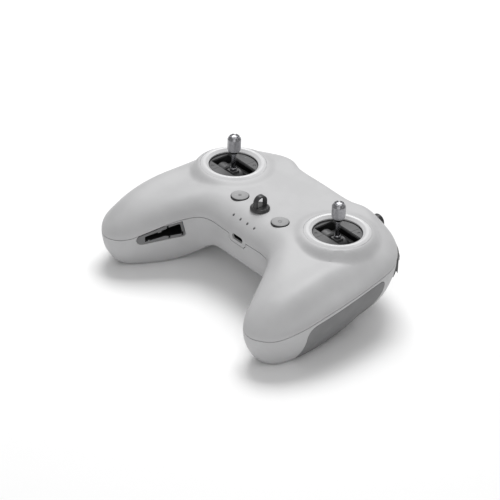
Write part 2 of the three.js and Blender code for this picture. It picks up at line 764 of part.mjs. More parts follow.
function makeGimbals() {
  for (const { name, sign } of sides) {
    const group = new THREE.Group();
    group.position.set(sign * gimbal.spacing, 0, 0);
    model.add(group);
    add(`${name}_gimbal_bezel`, gimbalBezel(), bezelPlastic, group);
    add(`${name}_gimbal_cover`, gimbalCover(), gimbalPlastic, group);
    add(`${name}_gimbal_frame`, gimbalFrame(), blackPlastic, group);
    add(`${name}_gimbal_yoke`, gimbalYoke(), darkPlastic, group);
    add(`${name}_stick_carrier`, stickCarrier(), darkPlastic, group);
    add(`${name}_stick_shaft`, stickShaft(), steel, group);
    add(`${name}_stick_collar`, stickCollar(), satinMetal, group);
    add(`${name}_stick_knob`, stickKnob(), satinMetal, group);
    const sensor = block([cup.outer + gap, -6, -19], [cup.outer + 1.5, 6, -5.4]);
    add(`${name}_sensor_board`, sensor, boardGreen, group);
  }
}

// ---------- shoulder controls ----------

function makeShoulderControls() {
  const { left, right } = controls;
  const inside = -panel.thickness - 2.4;     // where the parts behind a panel begin
  model.add(left.dial, left.button, left.toggle, right.button, right.slider, right.toggle);

  const wheel = turned([
    [1.5, -dial.width / 2], [dial.radius - 0.5, -dial.width / 2], [dial.radius, -dial.width / 2 + 0.5],
    [dial.radius, dial.width / 2 - 0.5], [dial.radius - 0.5, dial.width / 2], [1.5, dial.width / 2],
  ], 30);
  const hub = new THREE.Group();
  hub.position.y = -dial.sunk;
  left.dial.add(hub);
  add('gimbal_dial', wheel, darkPlastic, hub);
  add('dial_axle', post(1.2, -dial.width / 2 - 2, dial.width / 2 + 1.2, 0, 0, 14), steel, hub);

  const r = shoulderKey.radius;
  const key = turned([
    [0, inside - 2.6], [r + 1, inside - 2.6], [r + 1, inside - 1.6], [r, inside - 1.6],
    [r, shoulderKey.proud - 0.8], [r - 0.8, shoulderKey.proud], [0, shoulderKey.proud - 0.3],
  ], 24);
  const facingOut = new THREE.Matrix4().makeRotationX(-Math.PI / 2);
  add('pause_button', moved(key, facingOut), darkPlastic, left.button);
  add('record_button', moved(key, facingOut), darkPlastic, right.button);

  const lever = ({ halfLength, halfHeight, proud, travel }, footDepth) => {
    const back = inside - footDepth;
    const cap = plug(roundedRectangle(halfLength, halfHeight, 0.8), back, proud, 3);
    const foot = [halfLength + 2 * travel + 0.8, halfHeight + 1];
    return cap.add(block([-foot[0], back - 1, -foot[1]], [foot[0], back, foot[1]]));
  };
  add('mode_switch', lever(slider, 1.4), keyPlastic, right.slider);
  add('left_toggle_switch', lever(toggle, 3.2), keyPlastic, left.toggle);
  add('right_toggle_switch', lever(toggle, 3.2), keyPlastic, right.toggle);
}

// ---------- assembly ----------

makeShells();
makeLanyardPost();
makeKeys();
makeLightGuide();
makeElectronics();
makeGimbals();
makeShoulderControls();

// Stands the model on z = 0 with the middle of its bounding box over the origin.
const extent = new THREE.Box3().setFromObject(model);
model.position.set(0, -(extent.min.y + extent.max.y) / 2, -extent.min.z);

const root = new THREE.Group();
root.add(model);

export default root;
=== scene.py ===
# Radio transmitter controller: the finished surfaces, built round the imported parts.
# Shapes are drawn in millimetres from the plane of the gimbal covers, midway between the sticks.
import json
import math

import bmesh
import bpy
import numpy as np
from mathutils import Matrix, Vector


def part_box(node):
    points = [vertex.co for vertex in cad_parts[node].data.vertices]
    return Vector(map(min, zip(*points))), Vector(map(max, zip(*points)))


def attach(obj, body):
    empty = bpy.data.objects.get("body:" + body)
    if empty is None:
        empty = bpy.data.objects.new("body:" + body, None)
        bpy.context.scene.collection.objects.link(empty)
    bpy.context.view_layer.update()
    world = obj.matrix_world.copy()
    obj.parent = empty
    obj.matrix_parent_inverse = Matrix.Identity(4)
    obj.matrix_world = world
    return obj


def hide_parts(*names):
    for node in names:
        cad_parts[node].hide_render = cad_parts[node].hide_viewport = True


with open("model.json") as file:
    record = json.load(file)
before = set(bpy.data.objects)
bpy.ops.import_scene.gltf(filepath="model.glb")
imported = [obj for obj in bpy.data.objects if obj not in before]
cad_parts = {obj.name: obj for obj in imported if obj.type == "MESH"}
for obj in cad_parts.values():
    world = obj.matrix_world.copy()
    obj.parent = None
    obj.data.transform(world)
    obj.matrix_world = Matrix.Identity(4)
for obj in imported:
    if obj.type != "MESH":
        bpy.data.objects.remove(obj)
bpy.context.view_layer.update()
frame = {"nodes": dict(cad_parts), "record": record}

millimetre = 0.001
coverTop = -0.9
coverLow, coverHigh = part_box("right_gimbal_cover")
spacing = (coverLow.x + coverHigh.x) / 2 / millimetre
origin = Vector((0, (coverLow.y + coverHigh.y) / 2, coverHigh.z - coverTop * millimetre))
toWorld = Matrix.Translation(origin) @ Matrix.Scale(millimetre, 4)
bodyOf = {node: body for body, nodes in frame["record"]["behaviour"]["bodies"].items() for node in nodes}
sides = {"left": -1, "right": 1}


# Shader tools

def tone(red, green, blue):
    # screen colour from 0 to 255, as the shader's own
    return tuple((value / 255) ** 2.2 for value in (red, green, blue)) + (1,)


class Signal:
    # a shader socket that takes part in expressions
    def __init__(self, finish, socket):
        self.finish = finish
        self.socket = socket

    def work(self, operation, first, second):
        return self.finish.node("ShaderNodeMath", {"operation": operation}, {0: first, 1: second})

    def __add__(self, other):
        return self.work("ADD", self, other)

    def __radd__(self, other):
        return self.work("ADD", other, self)

    def __sub__(self, other):
        return self.work("SUBTRACT", self, other)

    def __rsub__(self, other):
        return self.work("SUBTRACT", other, self)

    def __mul__(self, other):
        return self.work("MULTIPLY", self, other)

    def __rmul__(self, other):
        return self.work("MULTIPLY", other, self)


class Finish:
    # one material, with its own coordinates on the piece
    def __init__(self, name):
        self.material = bpy.data.materials.new(name)
        self.material.use_nodes = True
        self.tree = self.material.node_tree
        self.shader = self.tree.nodes["Principled BSDF"]
        self.place = self.node("ShaderNodeTexCoord", output="Object")

    def node(self, kind, settings=None, values=None, output=0):
        made = self.tree.nodes.new(kind)
        for name, value in (settings or {}).items():
            setattr(made, name, value)
        for name, value in (values or {}).items():
            if isinstance(value, Signal):
                self.tree.links.new(value.socket, made.inputs[name])
            else:
                made.inputs[name].default_value = value
        return Signal(self, made.outputs[output])

    def set(self, **values):
        for name, value in values.items():
            socket = self.shader.inputs[name.replace("_", " ")]
            if isinstance(value, Signal):
                self.tree.links.new(value.socket, socket)
            else:
                socket.default_value = value

    def stretched(self, stretch):
        return self.node("ShaderNodeVectorMath", {"operation": "MULTIPLY"}, {0: self.place, 1: stretch})

    def noise(self, size, detail=2.0, place=None):
        # cloudy noise with lumps about `size` millimetres across, from 0 to 1
        values = {"Vector": place or self.place, "Scale": 1 / (size * millimetre), "Detail": detail}
        return self.node("ShaderNodeTexNoise", values=values)

    def between(self, signal, low, high):
        # 0 below low and 1 above high
        values = {"Value": signal, "From Min": low, "From Max": high}
        return self.node("ShaderNodeMapRange", {"interpolation_type": "SMOOTHSTEP"}, values)

    def mixed(self, factor, first, second):
        return self.node("ShaderNodeMix", {"data_type": "RGBA"}, {0: factor, 6: first, 7: second}, 2)

    def edges(self, low=0.52, high=0.62):
        # 1 on the sharp outer edges
        point = self.node("ShaderNodeNewGeometry", output="Pointiness")
        return self.between(point, low, high)

    def bump(self, height, depth, strength=1.0):
        values = {"Strength": strength, "Distance": depth * millimetre, "Height": height}
        return self.node("ShaderNodeBump", values=values)


def moulded(name, look):
    # moulded plastic or rubber: spark-eroded grain, faint clouding, and edges polished by handling, their
    # colour lightened as wear and as a painted highlight
    finish = Finish(name)
    cloud = finish.noise(look["cloud"], 3)
    grain = finish.noise(look["grain"], 2)
    specks = finish.between(finish.noise(look["grain"] * 0.6, 1), 0.66, 0.74)
    base = finish.mixed(finish.between(cloud, 0.35, 0.65), look["dark"], look["light"])
    base = finish.mixed(specks * look["specks"], base, look["speck"])
    # sharp edges in patches, lighter in colour: partly wear, partly a painted highlight
    edgeWornAndHighlit = finish.edges() * finish.between(finish.noise(6, 4), 0.3, 0.6)
    base = finish.mixed(edgeWornAndHighlit * look["wear"], base, look["edgeWornAndHighlit"])
    rough = look["roughness"] + (cloud - 0.5) * 0.12 + (grain - 0.5) * 0.1 - edgeWornAndHighlit * 0.12
    finish.set(Base_Color=base, Roughness=rough, Specular_IOR_Level=look.get("sheen", 0.45))
    finish.set(Normal=finish.bump(grain, look["depth"], 0.6))
    return finish.material


def metallic(name, look):
    # turned or stamped metal: fine tool lines along one direction, and lighter edges, a painted highlight
    # with some wear
    finish = Finish(name)
    lines = finish.noise(look["lines"], 3, finish.stretched(look["stretch"]))
    smear = finish.noise(3, 3)
    base = finish.mixed(finish.between(lines, 0.3, 0.7), look["dark"], look["light"])
    # every sharp edge lighter in colour: painted highlight with some wear
    base = finish.mixed(finish.edges() * look["wear"], base, look["edgeWornAndHighlit"])
    rough = look["roughness"] + (lines - 0.5) * 0.18 + (smear - 0.5) * 0.14
    finish.set(Base_Color=base, Roughness=rough, Metallic=1.0)
    finish.set(Normal=finish.bump(lines, look["depth"], 0.5))
    return finish.material


def greys(value, spread=4, lift=26, **rest):
    # tones of one grey plastic: its clouding, its specks, and its edges lightened as wear and as a painted
    # highlight
    look = {
        "dark": tone(value - spread, value - spread, value - spread + 1),
        "light": tone(value + spread, value + spread, value + spread + 1),
        "speck": tone(value - 3 * spread, value - 3 * spread, value - 3 * spread),
        # edge colour: wear and a painted highlight
        "edgeWornAndHighlit": tone(*[min(value + lift, 250)] * 3),
        "cloud": 14, "grain": 0.45, "depth": 0.02, "specks": 0.25, "wear": 0.35, "roughness": 0.55,
    }
    look.update(rest)
    return look


def boardFinish(name):
    # circuit board: solder mask over faint copper tracks, with tinned pads
    finish = Finish(name)
    look = {"track": 1.6, "pad": 2.4}
    cells = {"Vector": finish.place, "Scale": 1 / (look["track"] * millimetre)}
    tracks = finish.node("ShaderNodeTexBrick", values={**cells, "Mortar Size": 0.06}, output="Fac")
    dots = finish.node("ShaderNodeTexVoronoi", {"feature": "F1"}, {
        "Vector": finish.place, "Scale": 1 / (look["pad"] * millimetre), "Randomness": 0.4})
    pads = 1 - finish.between(dots, 0.1, 0.16)
    mask = finish.mixed(tracks, tone(22, 66, 46), tone(34, 92, 62))
    base = finish.mixed(pads, mask, tone(196, 190, 168))
    cloud = finish.noise(5, 3)
    finish.set(Base_Color=base, Roughness=0.35 + cloud * 0.2 - pads * 0.1, Metallic=pads * 0.8)
    finish.set(Normal=finish.bump(tracks + pads, 0.04, 0.7))
    return finish.material


def cellFinish(name):
    # shrink wrap of a battery cell: glossy film with faint wrinkles and a pale band
    finish = Finish(name)
    wrinkles = finish.noise(2.5, 4, finish.stretched((1, 0.25, 1)))
    band = finish.between(finish.noise(16, 1, finish.stretched((0, 1, 0))), 0.52, 0.54)
    base = finish.mixed(band, tone(44, 92, 142), tone(70, 122, 168))
    finish.set(Base_Color=base, Roughness=0.28 + wrinkles * 0.2, Coat_Weight=0.3)
    finish.set(Normal=finish.bump(wrinkles, 0.12, 0.5))
    return finish.material


def lampFinish(name):
    # clear light guide, frosted inside, coloured dark grey as painted shade of the lamp holes
    finish = Finish(name)
    frost = finish.noise(0.5, 3)
    # dark greys: painted shade of the lamp holes
    base = finish.mixed(frost, tone(38, 40, 42), tone(66, 68, 70))
    finish.set(Base_Color=base, Roughness=0.12 + frost * 0.2, Coat_Weight=0.5)
    finish.set(Normal=finish.bump(frost, 0.01, 0.4))
    return finish.material


finishes = {
    "shell": moulded("shellPlastic", greys(184, 2, 20, roughness=0.5, wear=0.25, grain=0.5, specks=0.12)),
    "bezel": moulded("bezelPlastic", greys(212, 2, 22, roughness=0.3, wear=0.3, specks=0.08, depth=0.008)),
    "key": moulded("keyPlastic", greys(148, 3, 24, roughness=0.42, depth=0.012)),
    # side walls of the deck keys: painted shade
    "keySkirt": moulded("keySkirtPaintedShade", greys(52, 3, 24, roughness=0.5)),
    "mark": moulded("markInk", greys(108, 3, 10, roughness=0.5, grain=0.2, depth=0.006)),
    "pad": moulded("padRubber", greys(128, 3, 16, roughness=0.78, grain=0.35, depth=0.05, sheen=0.3)),
    "insert": moulded("insertRubber", greys(118, 3, 18, roughness=0.74, grain=0.35, depth=0.04, sheen=0.3)),
    # inside of the stick slots: painted shade, much darker than the insert's rubber
    "slot": moulded("slotPaintedShade", greys(24, 3, 14, roughness=0.85, grain=0.4, depth=0.04, sheen=0.2)),
    "dark": moulded("darkPlastic", greys(54, 4, 44, roughness=0.34, wear=0.5, grain=0.4)),
    "panel": moulded("panelPlastic", greys(58, 3, 26, roughness=0.5, grain=0.4, depth=0.03)),
    "cover": moulded("coverPlastic", greys(70, 3, 30, roughness=0.45, grain=0.35)),
    "plate": moulded("platePlastic", greys(88, 3, 34, roughness=0.42, grain=0.35)),
    "saddle": moulded("saddlePlastic", greys(82, 4, 34, roughness=0.42, grain=0.35)),
    "black": moulded("blackPlastic", greys(34, 3, 20, roughness=0.55, grain=0.4)),
    "knob": metallic("satinKnob", {
        "dark": tone(132, 132, 135), "light": tone(164, 164, 167), "edgeWornAndHighlit": tone(238, 238, 240),
        "lines": 0.2, "stretch": (1, 1, 0.2), "roughness": 0.32, "depth": 0.0006, "wear": 0.8}),
    # foot of each stick knob, under its overhang: darker colour as painted shade
    "knobFoot": metallic("knobFootPaintedShade", {
        "dark": tone(44, 44, 46), "light": tone(70, 70, 73), "edgeWornAndHighlit": tone(140, 140, 143),
        "lines": 0.5, "stretch": (1, 1, 6), "roughness": 0.34, "depth": 0.006, "wear": 0.5}),
    "shaft": metallic("shaftSteel", {
        "dark": tone(140, 140, 145), "light": tone(182, 182, 187), "edgeWornAndHighlit": tone(230, 230, 233),
        "lines": 0.3, "stretch": (1, 1, 5), "roughness": 0.24, "depth": 0.004, "wear": 0.5}),
    "steel": metallic("plainSteel", {
        "dark": tone(128, 129, 132), "light": tone(164, 165, 168), "edgeWornAndHighlit": tone(220, 220, 222),
        "lines": 0.4, "stretch": (4, 1, 1), "roughness": 0.34, "depth": 0.006, "wear": 0.5}),
    "screw": metallic("blackenedSteel", {
        "dark": tone(48, 48, 51), "light": tone(74, 74, 78), "edgeWornAndHighlit": tone(150, 150, 154),
        "lines": 0.3, "stretch": (1, 5, 1), "roughness": 0.36, "depth": 0.006, "wear": 0.6}),
    "board": boardFinish("circuitBoard"),
    "cell": cellFinish("cellWrap"),
    # lamp glass painted dark as the shade in its holes
    "lamp": lampFinish("lampGlassPaintedShade"),
}
print("finishes made:", len(finishes))


# Mesh tools, in millimetres

def newMesh(points, faces):
    mesh = bpy.data.meshes.new("shape")
    mesh.from_pydata([tuple(map(float, point)) for point in points], [], faces)
    work = bmesh.new()
    work.from_mesh(mesh)
    bmesh.ops.remove_doubles(work, verts=work.verts, dist=2e-5)
    bmesh.ops.recalc_face_normals(work, faces=work.faces)
    work.to_mesh(mesh)
    work.free()
    return mesh


def joined(meshes):
    # several separate closed shapes as one mesh
    work = bmesh.new()
    for mesh in meshes:
        work.from_mesh(mesh)
    whole = bpy.data.meshes.new("shape")
    work.to_mesh(whole)
    work.free()
    return whole


def linked(thing):
    bpy.context.scene.collection.objects.link(thing)
    return thing


def combined(first, second, operation):
    pair = [linked(bpy.data.objects.new("work", mesh)) for mesh in (first, second)]
    boolean = pair[0].modifiers.new("boolean", "BOOLEAN")
    boolean.operation = operation
    boolean.solver = "MANIFOLD"
    boolean.object = pair[1]
    ready = pair[0].evaluated_get(bpy.context.evaluated_depsgraph_get())
    result = bpy.data.meshes.new_from_object(ready)
    for thing in pair:
        bpy.data.objects.remove(thing)
    if not result.polygons:
        raise RuntimeError("a cut left nothing of " + operation)
    return result


def cut(mesh, *tools):
    for tool in tools:
        mesh = combined(mesh, tool, "DIFFERENCE")
    return mesh


def fused(mesh, *others):
    for other in others:
        mesh = combined(mesh, other, "UNION")
    return mesh


def common(first, second):
    return combined(first, second, "INTERSECT")


def placed(mesh, *matrices):
    # a copy of the mesh, moved by each matrix in turn
    copy = mesh.copy()
    for matrix in matrices:
        copy.transform(matrix)
        if matrix.determinant() < 0:
            copy.flip_normals()
    return copy


def shift(x=0, y=0, z=0):
    return Matrix.Translation((x, y, z))


mirror = Matrix.Diagonal((-1, 1, 1, 1))
endways = Matrix.Rotation(math.pi / 2, 4, "X")            # X-Z drawing, run along Y
sideways = Matrix(((0, 0, 1, 0), (1, 0, 0, 0), (0, 1, 0, 0), (0, 0, 0, 1)))   # Y-Z drawing, run along X
alongX = Matrix.Rotation(math.pi / 2, 4, "Y")


def onSide(mesh, sign):
    return placed(mesh) if sign > 0 else placed(mesh, mirror)


def spun(mesh, count):
    # copies of a shape, set evenly round the Z axis
    turns = [2 * math.pi * number / count for number in range(count)]
    return joined([placed(mesh, Matrix.Rotation(angle, 4, "Z")) for angle in turns])


def arcOf(radius, turns, height=0):
    return [(radius * math.cos(a), height + radius * math.sin(a)) for a in turns]


def roundedCorners(points, radii, steps=5):
    # the same corners, each turned into an arc where its radius is above 0
    if not hasattr(radii, "__len__"):
        radii = [radii] * len(points)
    made = []
    for spot, (corner, radius) in enumerate(zip(points, radii)):
        corner = np.array(corner, float)
        back = np.array(points[spot - 1], float) - corner
        ahead = np.array(points[(spot + 1) % len(points)], float) - corner
        reach = min(np.linalg.norm(back), np.linalg.norm(ahead)) * 0.49
        back, ahead = back / np.linalg.norm(back), ahead / np.linalg.norm(ahead)
        half = math.acos(max(-1, min(1, float(back @ ahead)))) / 2
        if radius <= 0 or half > 1.55:
            made.append(tuple(corner))
            continue
        radius = min(radius, reach * math.tan(half))
        start = corner + back * radius / math.tan(half)
        end = corner + ahead * radius / math.tan(half)
        middle = corner + (back + ahead) / np.linalg.norm(back + ahead) * radius / math.sin(half)
        a, b = start - middle, end - middle
        turn = math.atan2(a[0] * b[1] - a[1] * b[0], a @ b)
        for step in range(steps + 1):
            angle = turn * step / steps
            c, s = math.cos(angle), math.sin(angle)
            made.append((middle[0] + a[0] * c - a[1] * s, middle[1] + a[0] * s + a[1] * c))
    return made


def turned(profile, radii=0, steps=96, arc=5):
    # turned piece from a closed profile of (radius, height)
    profile = roundedCorners(profile, radii, arc)
    points, rings = [], []
    for radius, height in profile:
        if radius < 1e-6:
            rings.append([len(points)] * steps)
            points.append((0, 0, height))
            continue
        rings.append(list(range(len(points), len(points) + steps)))
        for step in range(steps):
            angle = 2 * math.pi * step / steps
            points.append((radius * math.cos(angle), radius * math.sin(angle), height))
    faces = []
    for low, high in zip(rings, rings[1:] + rings[:1]):
        for k in range(steps):
            after = (k + 1) % steps
            face = list(dict.fromkeys([low[k], low[after], high[after], high[k]]))
            if len(face) > 2:
                faces.append(face)
    return newMesh(points, faces)


def post(radius, low, high, x=0, y=0, edge=0.0, steps=48):
    profile = [(0, low), (radius, low), (radius, high), (0, high)]
    return placed(turned(profile, [0, edge, edge, 0], steps, 3), shift(x, y))


def drawnIn(outline, distance):
    # the outline moved inwards by a distance
    points = np.array(outline, float)
    if distance == 0:
        return points
    before = points - np.roll(points, 1, 0)
    after = np.roll(points, -1, 0) - points
    before /= np.linalg.norm(before, axis=1)[:, None]
    after /= np.linalg.norm(after, axis=1)[:, None]
    normals = [np.stack([-d[:, 1], d[:, 0]], 1) for d in (before, after)]
    mitre = (normals[0] + normals[1]) / (1 + np.maximum((normals[0] * normals[1]).sum(1), -0.7))[:, None]
    return points + mitre * distance


def prism(outline, low, high, edge=0.0, steps=3):
    # upright plate of an outline, with its two rims rounded
    outline = [tuple(p) for p in outline]
    area = sum(a[0] * b[1] - a[1] * b[0] for a, b in zip(outline, outline[1:] + outline[:1]))
    if area < 0:
        outline.reverse()
    levels = [(0, low), (0, high)]
    if edge:
        turns = [math.pi / 2 * k / steps for k in range(steps + 1)]
        foot = [(edge * (1 - math.sin(a)), low + edge * (1 - math.cos(a))) for a in turns]
        levels = foot + [(inset, low + high - z) for inset, z in reversed(foot)]
    count = len(outline)
    points = [(x, y, z) for inset, z in levels for x, y in drawnIn(outline, inset)]
    faces = [list(range(count))[::-1], [len(points) - count + k for k in range(count)]]
    for level in range(len(levels) - 1):
        for k in range(count):
            a, b = level * count + k, level * count + (k + 1) % count
            faces.append([a, b, b + count, a + count])
    return newMesh(points, faces)


def rectangle(halfWidth, halfHeight, radius, steps=6):
    x, y = halfWidth, halfHeight
    return roundedCorners([(-x, -y), (x, -y), (x, y), (-x, y)], radius, steps)


def block(low, high, edge=0.0):
    centre = [(a + b) / 2 for a, b in zip(low, high)]
    outline = rectangle((high[0] - low[0]) / 2, (high[1] - low[1]) / 2, edge, 3)
    return placed(prism(outline, low[2], high[2], edge), shift(centre[0], centre[1]))


def path(start, *legs, steps=8):
    # each leg is an end point, or a control point and an end point
    points = [start]
    for leg in legs:
        if not hasattr(leg[0], "__len__"):
            points.append(leg)
            continue
        a, c, b = (np.array(p, float) for p in (points[-1], *leg))
        for t in np.linspace(0, 1, steps + 1)[1:]:
            points.append(tuple(a * (1 - t) ** 2 + 2 * c * t * (1 - t) + b * t * t))
    if np.linalg.norm(np.array(points[0]) - points[-1]) < 1e-6:
        points.pop()
    return points


def addPiece(name, mesh, nodes, finish, paints=(), sharp=34, weighted=True):
    # paints: pairs of a finish and a test on a face's centre and normal
    mesh.materials.clear()
    mesh.materials.append(finishes[finish])
    for face in mesh.polygons:
        face.material_index = 0
    for number, (paint, test) in enumerate(paints, 1):
        mesh.materials.append(finishes[paint])
        for face in mesh.polygons:
            if test(face.center, face.normal):
                face.material_index = number
    mesh.name = name
    mesh.transform(toWorld)
    mesh.shade_smooth()
    mesh.set_sharp_from_angle(angle=math.radians(sharp))
    piece = linked(bpy.data.objects.new(name, mesh))
    if weighted:
        even = piece.modifiers.new("evenShading", "WEIGHTED_NORMAL")
        even.keep_sharp = True
    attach(piece, bodyOf[nodes[0]])
    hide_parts(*nodes)
    return piece


# Outer form of the two shells

form = {
    # parting line of the right half: far edge, grip tip, near edge
    "farEdge": [
        (0, 33, -14), (20, 33, -14), (30, 35.8, -14), (42, 36.8, -14), (55, 33.8, -14), (67, 25.6, -14),
        (75.6, 13.2, -14.6), (79, -4, -16.8), (81.6, -22, -18.6), (82.5, -40, -21.3),
        (81, -55, -25.2), (76, -68.5, -28.8)],
    "gripTip": (66, -76, -29.6),
    "nearEdge": [
        (57, -75, -29.2), (50.8, -69.6, -27.8), (46.7, -62.5, -25), (42.6, -55, -21.6),
        (38.2, -47.3, -18.2), (33.6, -40.5, -15.8), (29, -36, -14.5), (23, -34, -14.1),
        (16, -33.5, -14.4), (8, -33.5, -14.6), (0, -33.5, -14.6)],
    # heights of the grips against the distance from the user
    "crown": [
        (-80, -21.2), (-72, -16.8), (-60, -11.8), (-45, -7.8), (-30, -5.4), (-15, -4.8), (0, -4.2), (16, -3),
        (40, -1.4)],
    "belly": [
        (-80, -45), (-70, -49), (-60, -50.4), (-48, -50.6), (-25, -50.4), (-10, -49), (4, -45),
        (20, -39), (40, -34)],
    "deck": -1.2,
    "collar": 0.4,         # top of the rise round each gimbal
    "keel": -32,
    "restPlane": -50.3,
    "seam": 0.15,          # half of the gap along the parting line
    "lip": 0.16,           # rounding of both shells along it
    "topWall": 2.2,
    "bottomWall": 3.0,
}
fine = (120, 72)           # rows per half and columns of an outer skin
medium = (110, 56)         # rims that show
padGrid = (110, 64)
tabGrid = (120, 40)
coarse = (48, 28)          # inner faces

outlinePoints = np.array(form["farEdge"] + [form["gripTip"]] + form["nearEdge"], float)
turnAt = len(form["farEdge"]) / (len(outlinePoints) - 1)
paddedPoints = np.vstack([
    2 * outlinePoints[0] - outlinePoints[1], outlinePoints, 2 * outlinePoints[-1] - outlinePoints[-2]])


def outlineAt(at):
    # smooth curve through the points of the parting line, for places from 0 to 1
    along = np.clip(at, 0, 1) * (len(outlinePoints) - 1)
    first = np.minimum(along.astype(int), len(outlinePoints) - 2)
    t = (along - first)[:, None]
    p0, p1, p2, p3 = (paddedPoints[first + k] for k in range(4))
    leave, arrive = (p2 - p0) / 2, (p3 - p1) / 2
    return p1 + leave * t + (3 * (p2 - p1) - 2 * leave - arrive) * t ** 2 \
        + (2 * (p1 - p2) + leave + arrive) * t ** 3


def insetOutline(at, inset):
    # the curve moved square to itself into the body
    points = outlineAt(at)
    step = 1e-4
    heading = (outlineAt(at + step) - outlineAt(at - step))[:, :2]
    heading /= np.linalg.norm(heading, axis=1)[:, None]
    points[:, 0] += inset * heading[:, 1]
    points[:, 1] -= inset * heading[:, 0]
    points[(at <= 0) | (at >= 1), 0] = 0
    return points


def smooth(low, high, value):
    t = np.clip((value - low) / (high - low), 0, 1)
    return t * t * (3 - 2 * t)


def falling(low, high, value):
    return 1 - smooth(low, high, value)


def heightAlong(table, at):
    # smooth curve through a table of places and heights
    places, heights = (np.array(column, float) for column in zip(*table))
    slopes = np.zeros(len(heights))
    slopes[1:-1] = (heights[2:] - heights[:-2]) / (places[2:] - places[:-2])
    slopes[0] = (heights[1] - heights[0]) / (places[1] - places[0])
    slopes[-1] = (heights[-1] - heights[-2]) / (places[-1] - places[-2])
    first = np.clip(np.searchsorted(places, at) - 1, 0, len(places) - 2)
    span = places[first + 1] - places[first]
    t = (at - places[first]) / span
    rise = t * t * (3 - 2 * t)
    bend = slopes[first] * t * (1 - t) ** 2 - slopes[first + 1] * t * t * (1 - t)
    return heights[first] + (heights[first + 1] - heights[first]) * rise + span * bend


def distanceTo(line, x, y):
    best = np.full(x.shape, 1e9)
    for a, b in zip(line[:-1], line[1:]):
        d = b - a
        t = np.clip(((x - a[0]) * d[0] + (y - a[1]) * d[1]) / (d @ d), 0, 1)
        best = np.minimum(best, np.hypot(x - a[0] - t * d[0], y - a[1] - t * d[1]))
    return best


edgeLines = [outlineAt(np.linspace(*ends, 161))[:, :2] for ends in ((0, turnAt), (turnAt, 1))]


def edgeDistance(x, y):
    # the two edges' distances, blended so that the middle of a grip has no ridge
    far, near = (np.maximum(distanceTo(line, x, y), 1e-4) for line in edgeLines)
    return (far ** -7 + near ** -7) ** (-1 / 7)


def topHeight(x, y, parting, across, inset):
    outward = smooth(26, 58, x)
    grip = falling(-30, 0, y) * outward
    farSide = smooth(5, 25, y)
    rounding = 16 + grip * (8 * across - 1) - farSide * (9.5 - 14 * smooth(30, 58, x)) - inset
    rise = falling(19.5, 25, np.hypot(x - spacing, y))
    crown = form["deck"] + (heightAlong(form["crown"], y) - form["deck"]) * outward
    crown += (form["collar"] - crown) * rise - inset
    t = np.clip(np.maximum(edgeDistance(x, y) - inset, 0.02) / rounding, 0, 1)
    arc = np.sqrt(1 - (1 - t) ** 2)
    flare = t * t * (3 - 2 * t)
    flared = 0.4 * smooth(0.55, 0.9, across) * falling(0, 20, y) * smooth(-78, -55, y) * outward
    return parting + (crown - parting) * (arc + (flare - arc) * flared)


def bottomHeight(x, y, parting, across, inset):
    outward = smooth(20, 52, x)
    floor = form["keel"] + (heightAlong(form["belly"], y) - form["keel"]) * outward + inset
    outer = (6 + 12 * smooth(-62, -12, y) * falling(-6, 14, y)) * smooth(0.5, 1, across)
    rounding = 5 + outward * (8 + outer) - min(inset, 2)
    t = np.clip(np.maximum(edgeDistance(x, y) - inset, 0.02) / rounding, 0, 1)
    return parting + (floor - parting) * np.sqrt(1 - (1 - t) ** 2)


def partingHeight(x, y, parting, across, inset):
    # takes what the other two heights take
    return parting + 0 * x


def skin(heightOf, inset, lift, size, least=0.0):
    # grid over the whole body; least keeps the skin at least that far off the parting line
    rows, columns = size
    along = 1 - (1 - np.arange(rows + 1) / rows) ** 1.6
    far = insetOutline(along * turnAt, inset)
    near = insetOutline(1 - along * (1 - turnAt), inset)
    across = (0.5 - 0.5 * np.cos(np.pi * np.arange(columns + 1) / columns))[None, :]
    points = near[:, None] + (far - near)[:, None] * across[..., None]
    x, y, parting = (points[..., k] for k in range(3))
    height = heightOf(x, y, parting, across, inset)
    height[:, 0], height[:, -1], height[-1] = parting[:, 0], parting[:, -1], parting[-1]
    if least > 0:
        height = np.maximum(height, parting + least)
    if least < 0:
        height = np.minimum(height, parting + least)
    half = np.dstack([x, y, height + lift])
    return np.concatenate([half[:0:-1] * (-1, 1, 1), half])


def between(upper, lower, walls=True):
    # closes two skins; they share their rims where there are no walls
    rows, columns = upper.shape[:2]
    points = np.concatenate([upper.reshape(-1, 3), lower.reshape(-1, 3)])
    index = np.arange(rows * columns).reshape(rows, columns)
    a, b, c, d = index[:-1, :-1], index[1:, :-1], index[1:, 1:], index[:-1, 1:]
    below = rows * columns
    faces = [np.stack([a, b, c, d], -1).reshape(-1, 4)]
    faces.append(np.stack([a, d, c, b], -1).reshape(-1, 4) + below)
    if walls:
        p, q = index[:-1, 0], index[1:, 0]
        faces.append(np.stack([p, p + below, q + below, q], -1))
        p, q = index[:-1, -1], index[1:, -1]
        faces.append(np.stack([p, q, q + below, p + below], -1))
    return newMesh(points, np.concatenate(faces).tolist())


def wholeForm(inset, size=coarse):
    return between(skin(topHeight, inset, 0, size), skin(bottomHeight, inset, 0, size), False)


def upperForm(size=fine):
    lip, lift = form["lip"], form["seam"]
    return between(skin(topHeight, 0, lift, size, lip), skin(partingHeight, lip, lift, size))


def lowerForm(size=fine):
    lip, lift = form["lip"], -form["seam"]
    return between(skin(partingHeight, lip, lift, size), skin(bottomHeight, 0, lift, size, -lip))


def rind(outer, inner, size=coarse):
    return cut(wholeForm(outer, size), wholeForm(inner, size))


# Places shared by several pieces

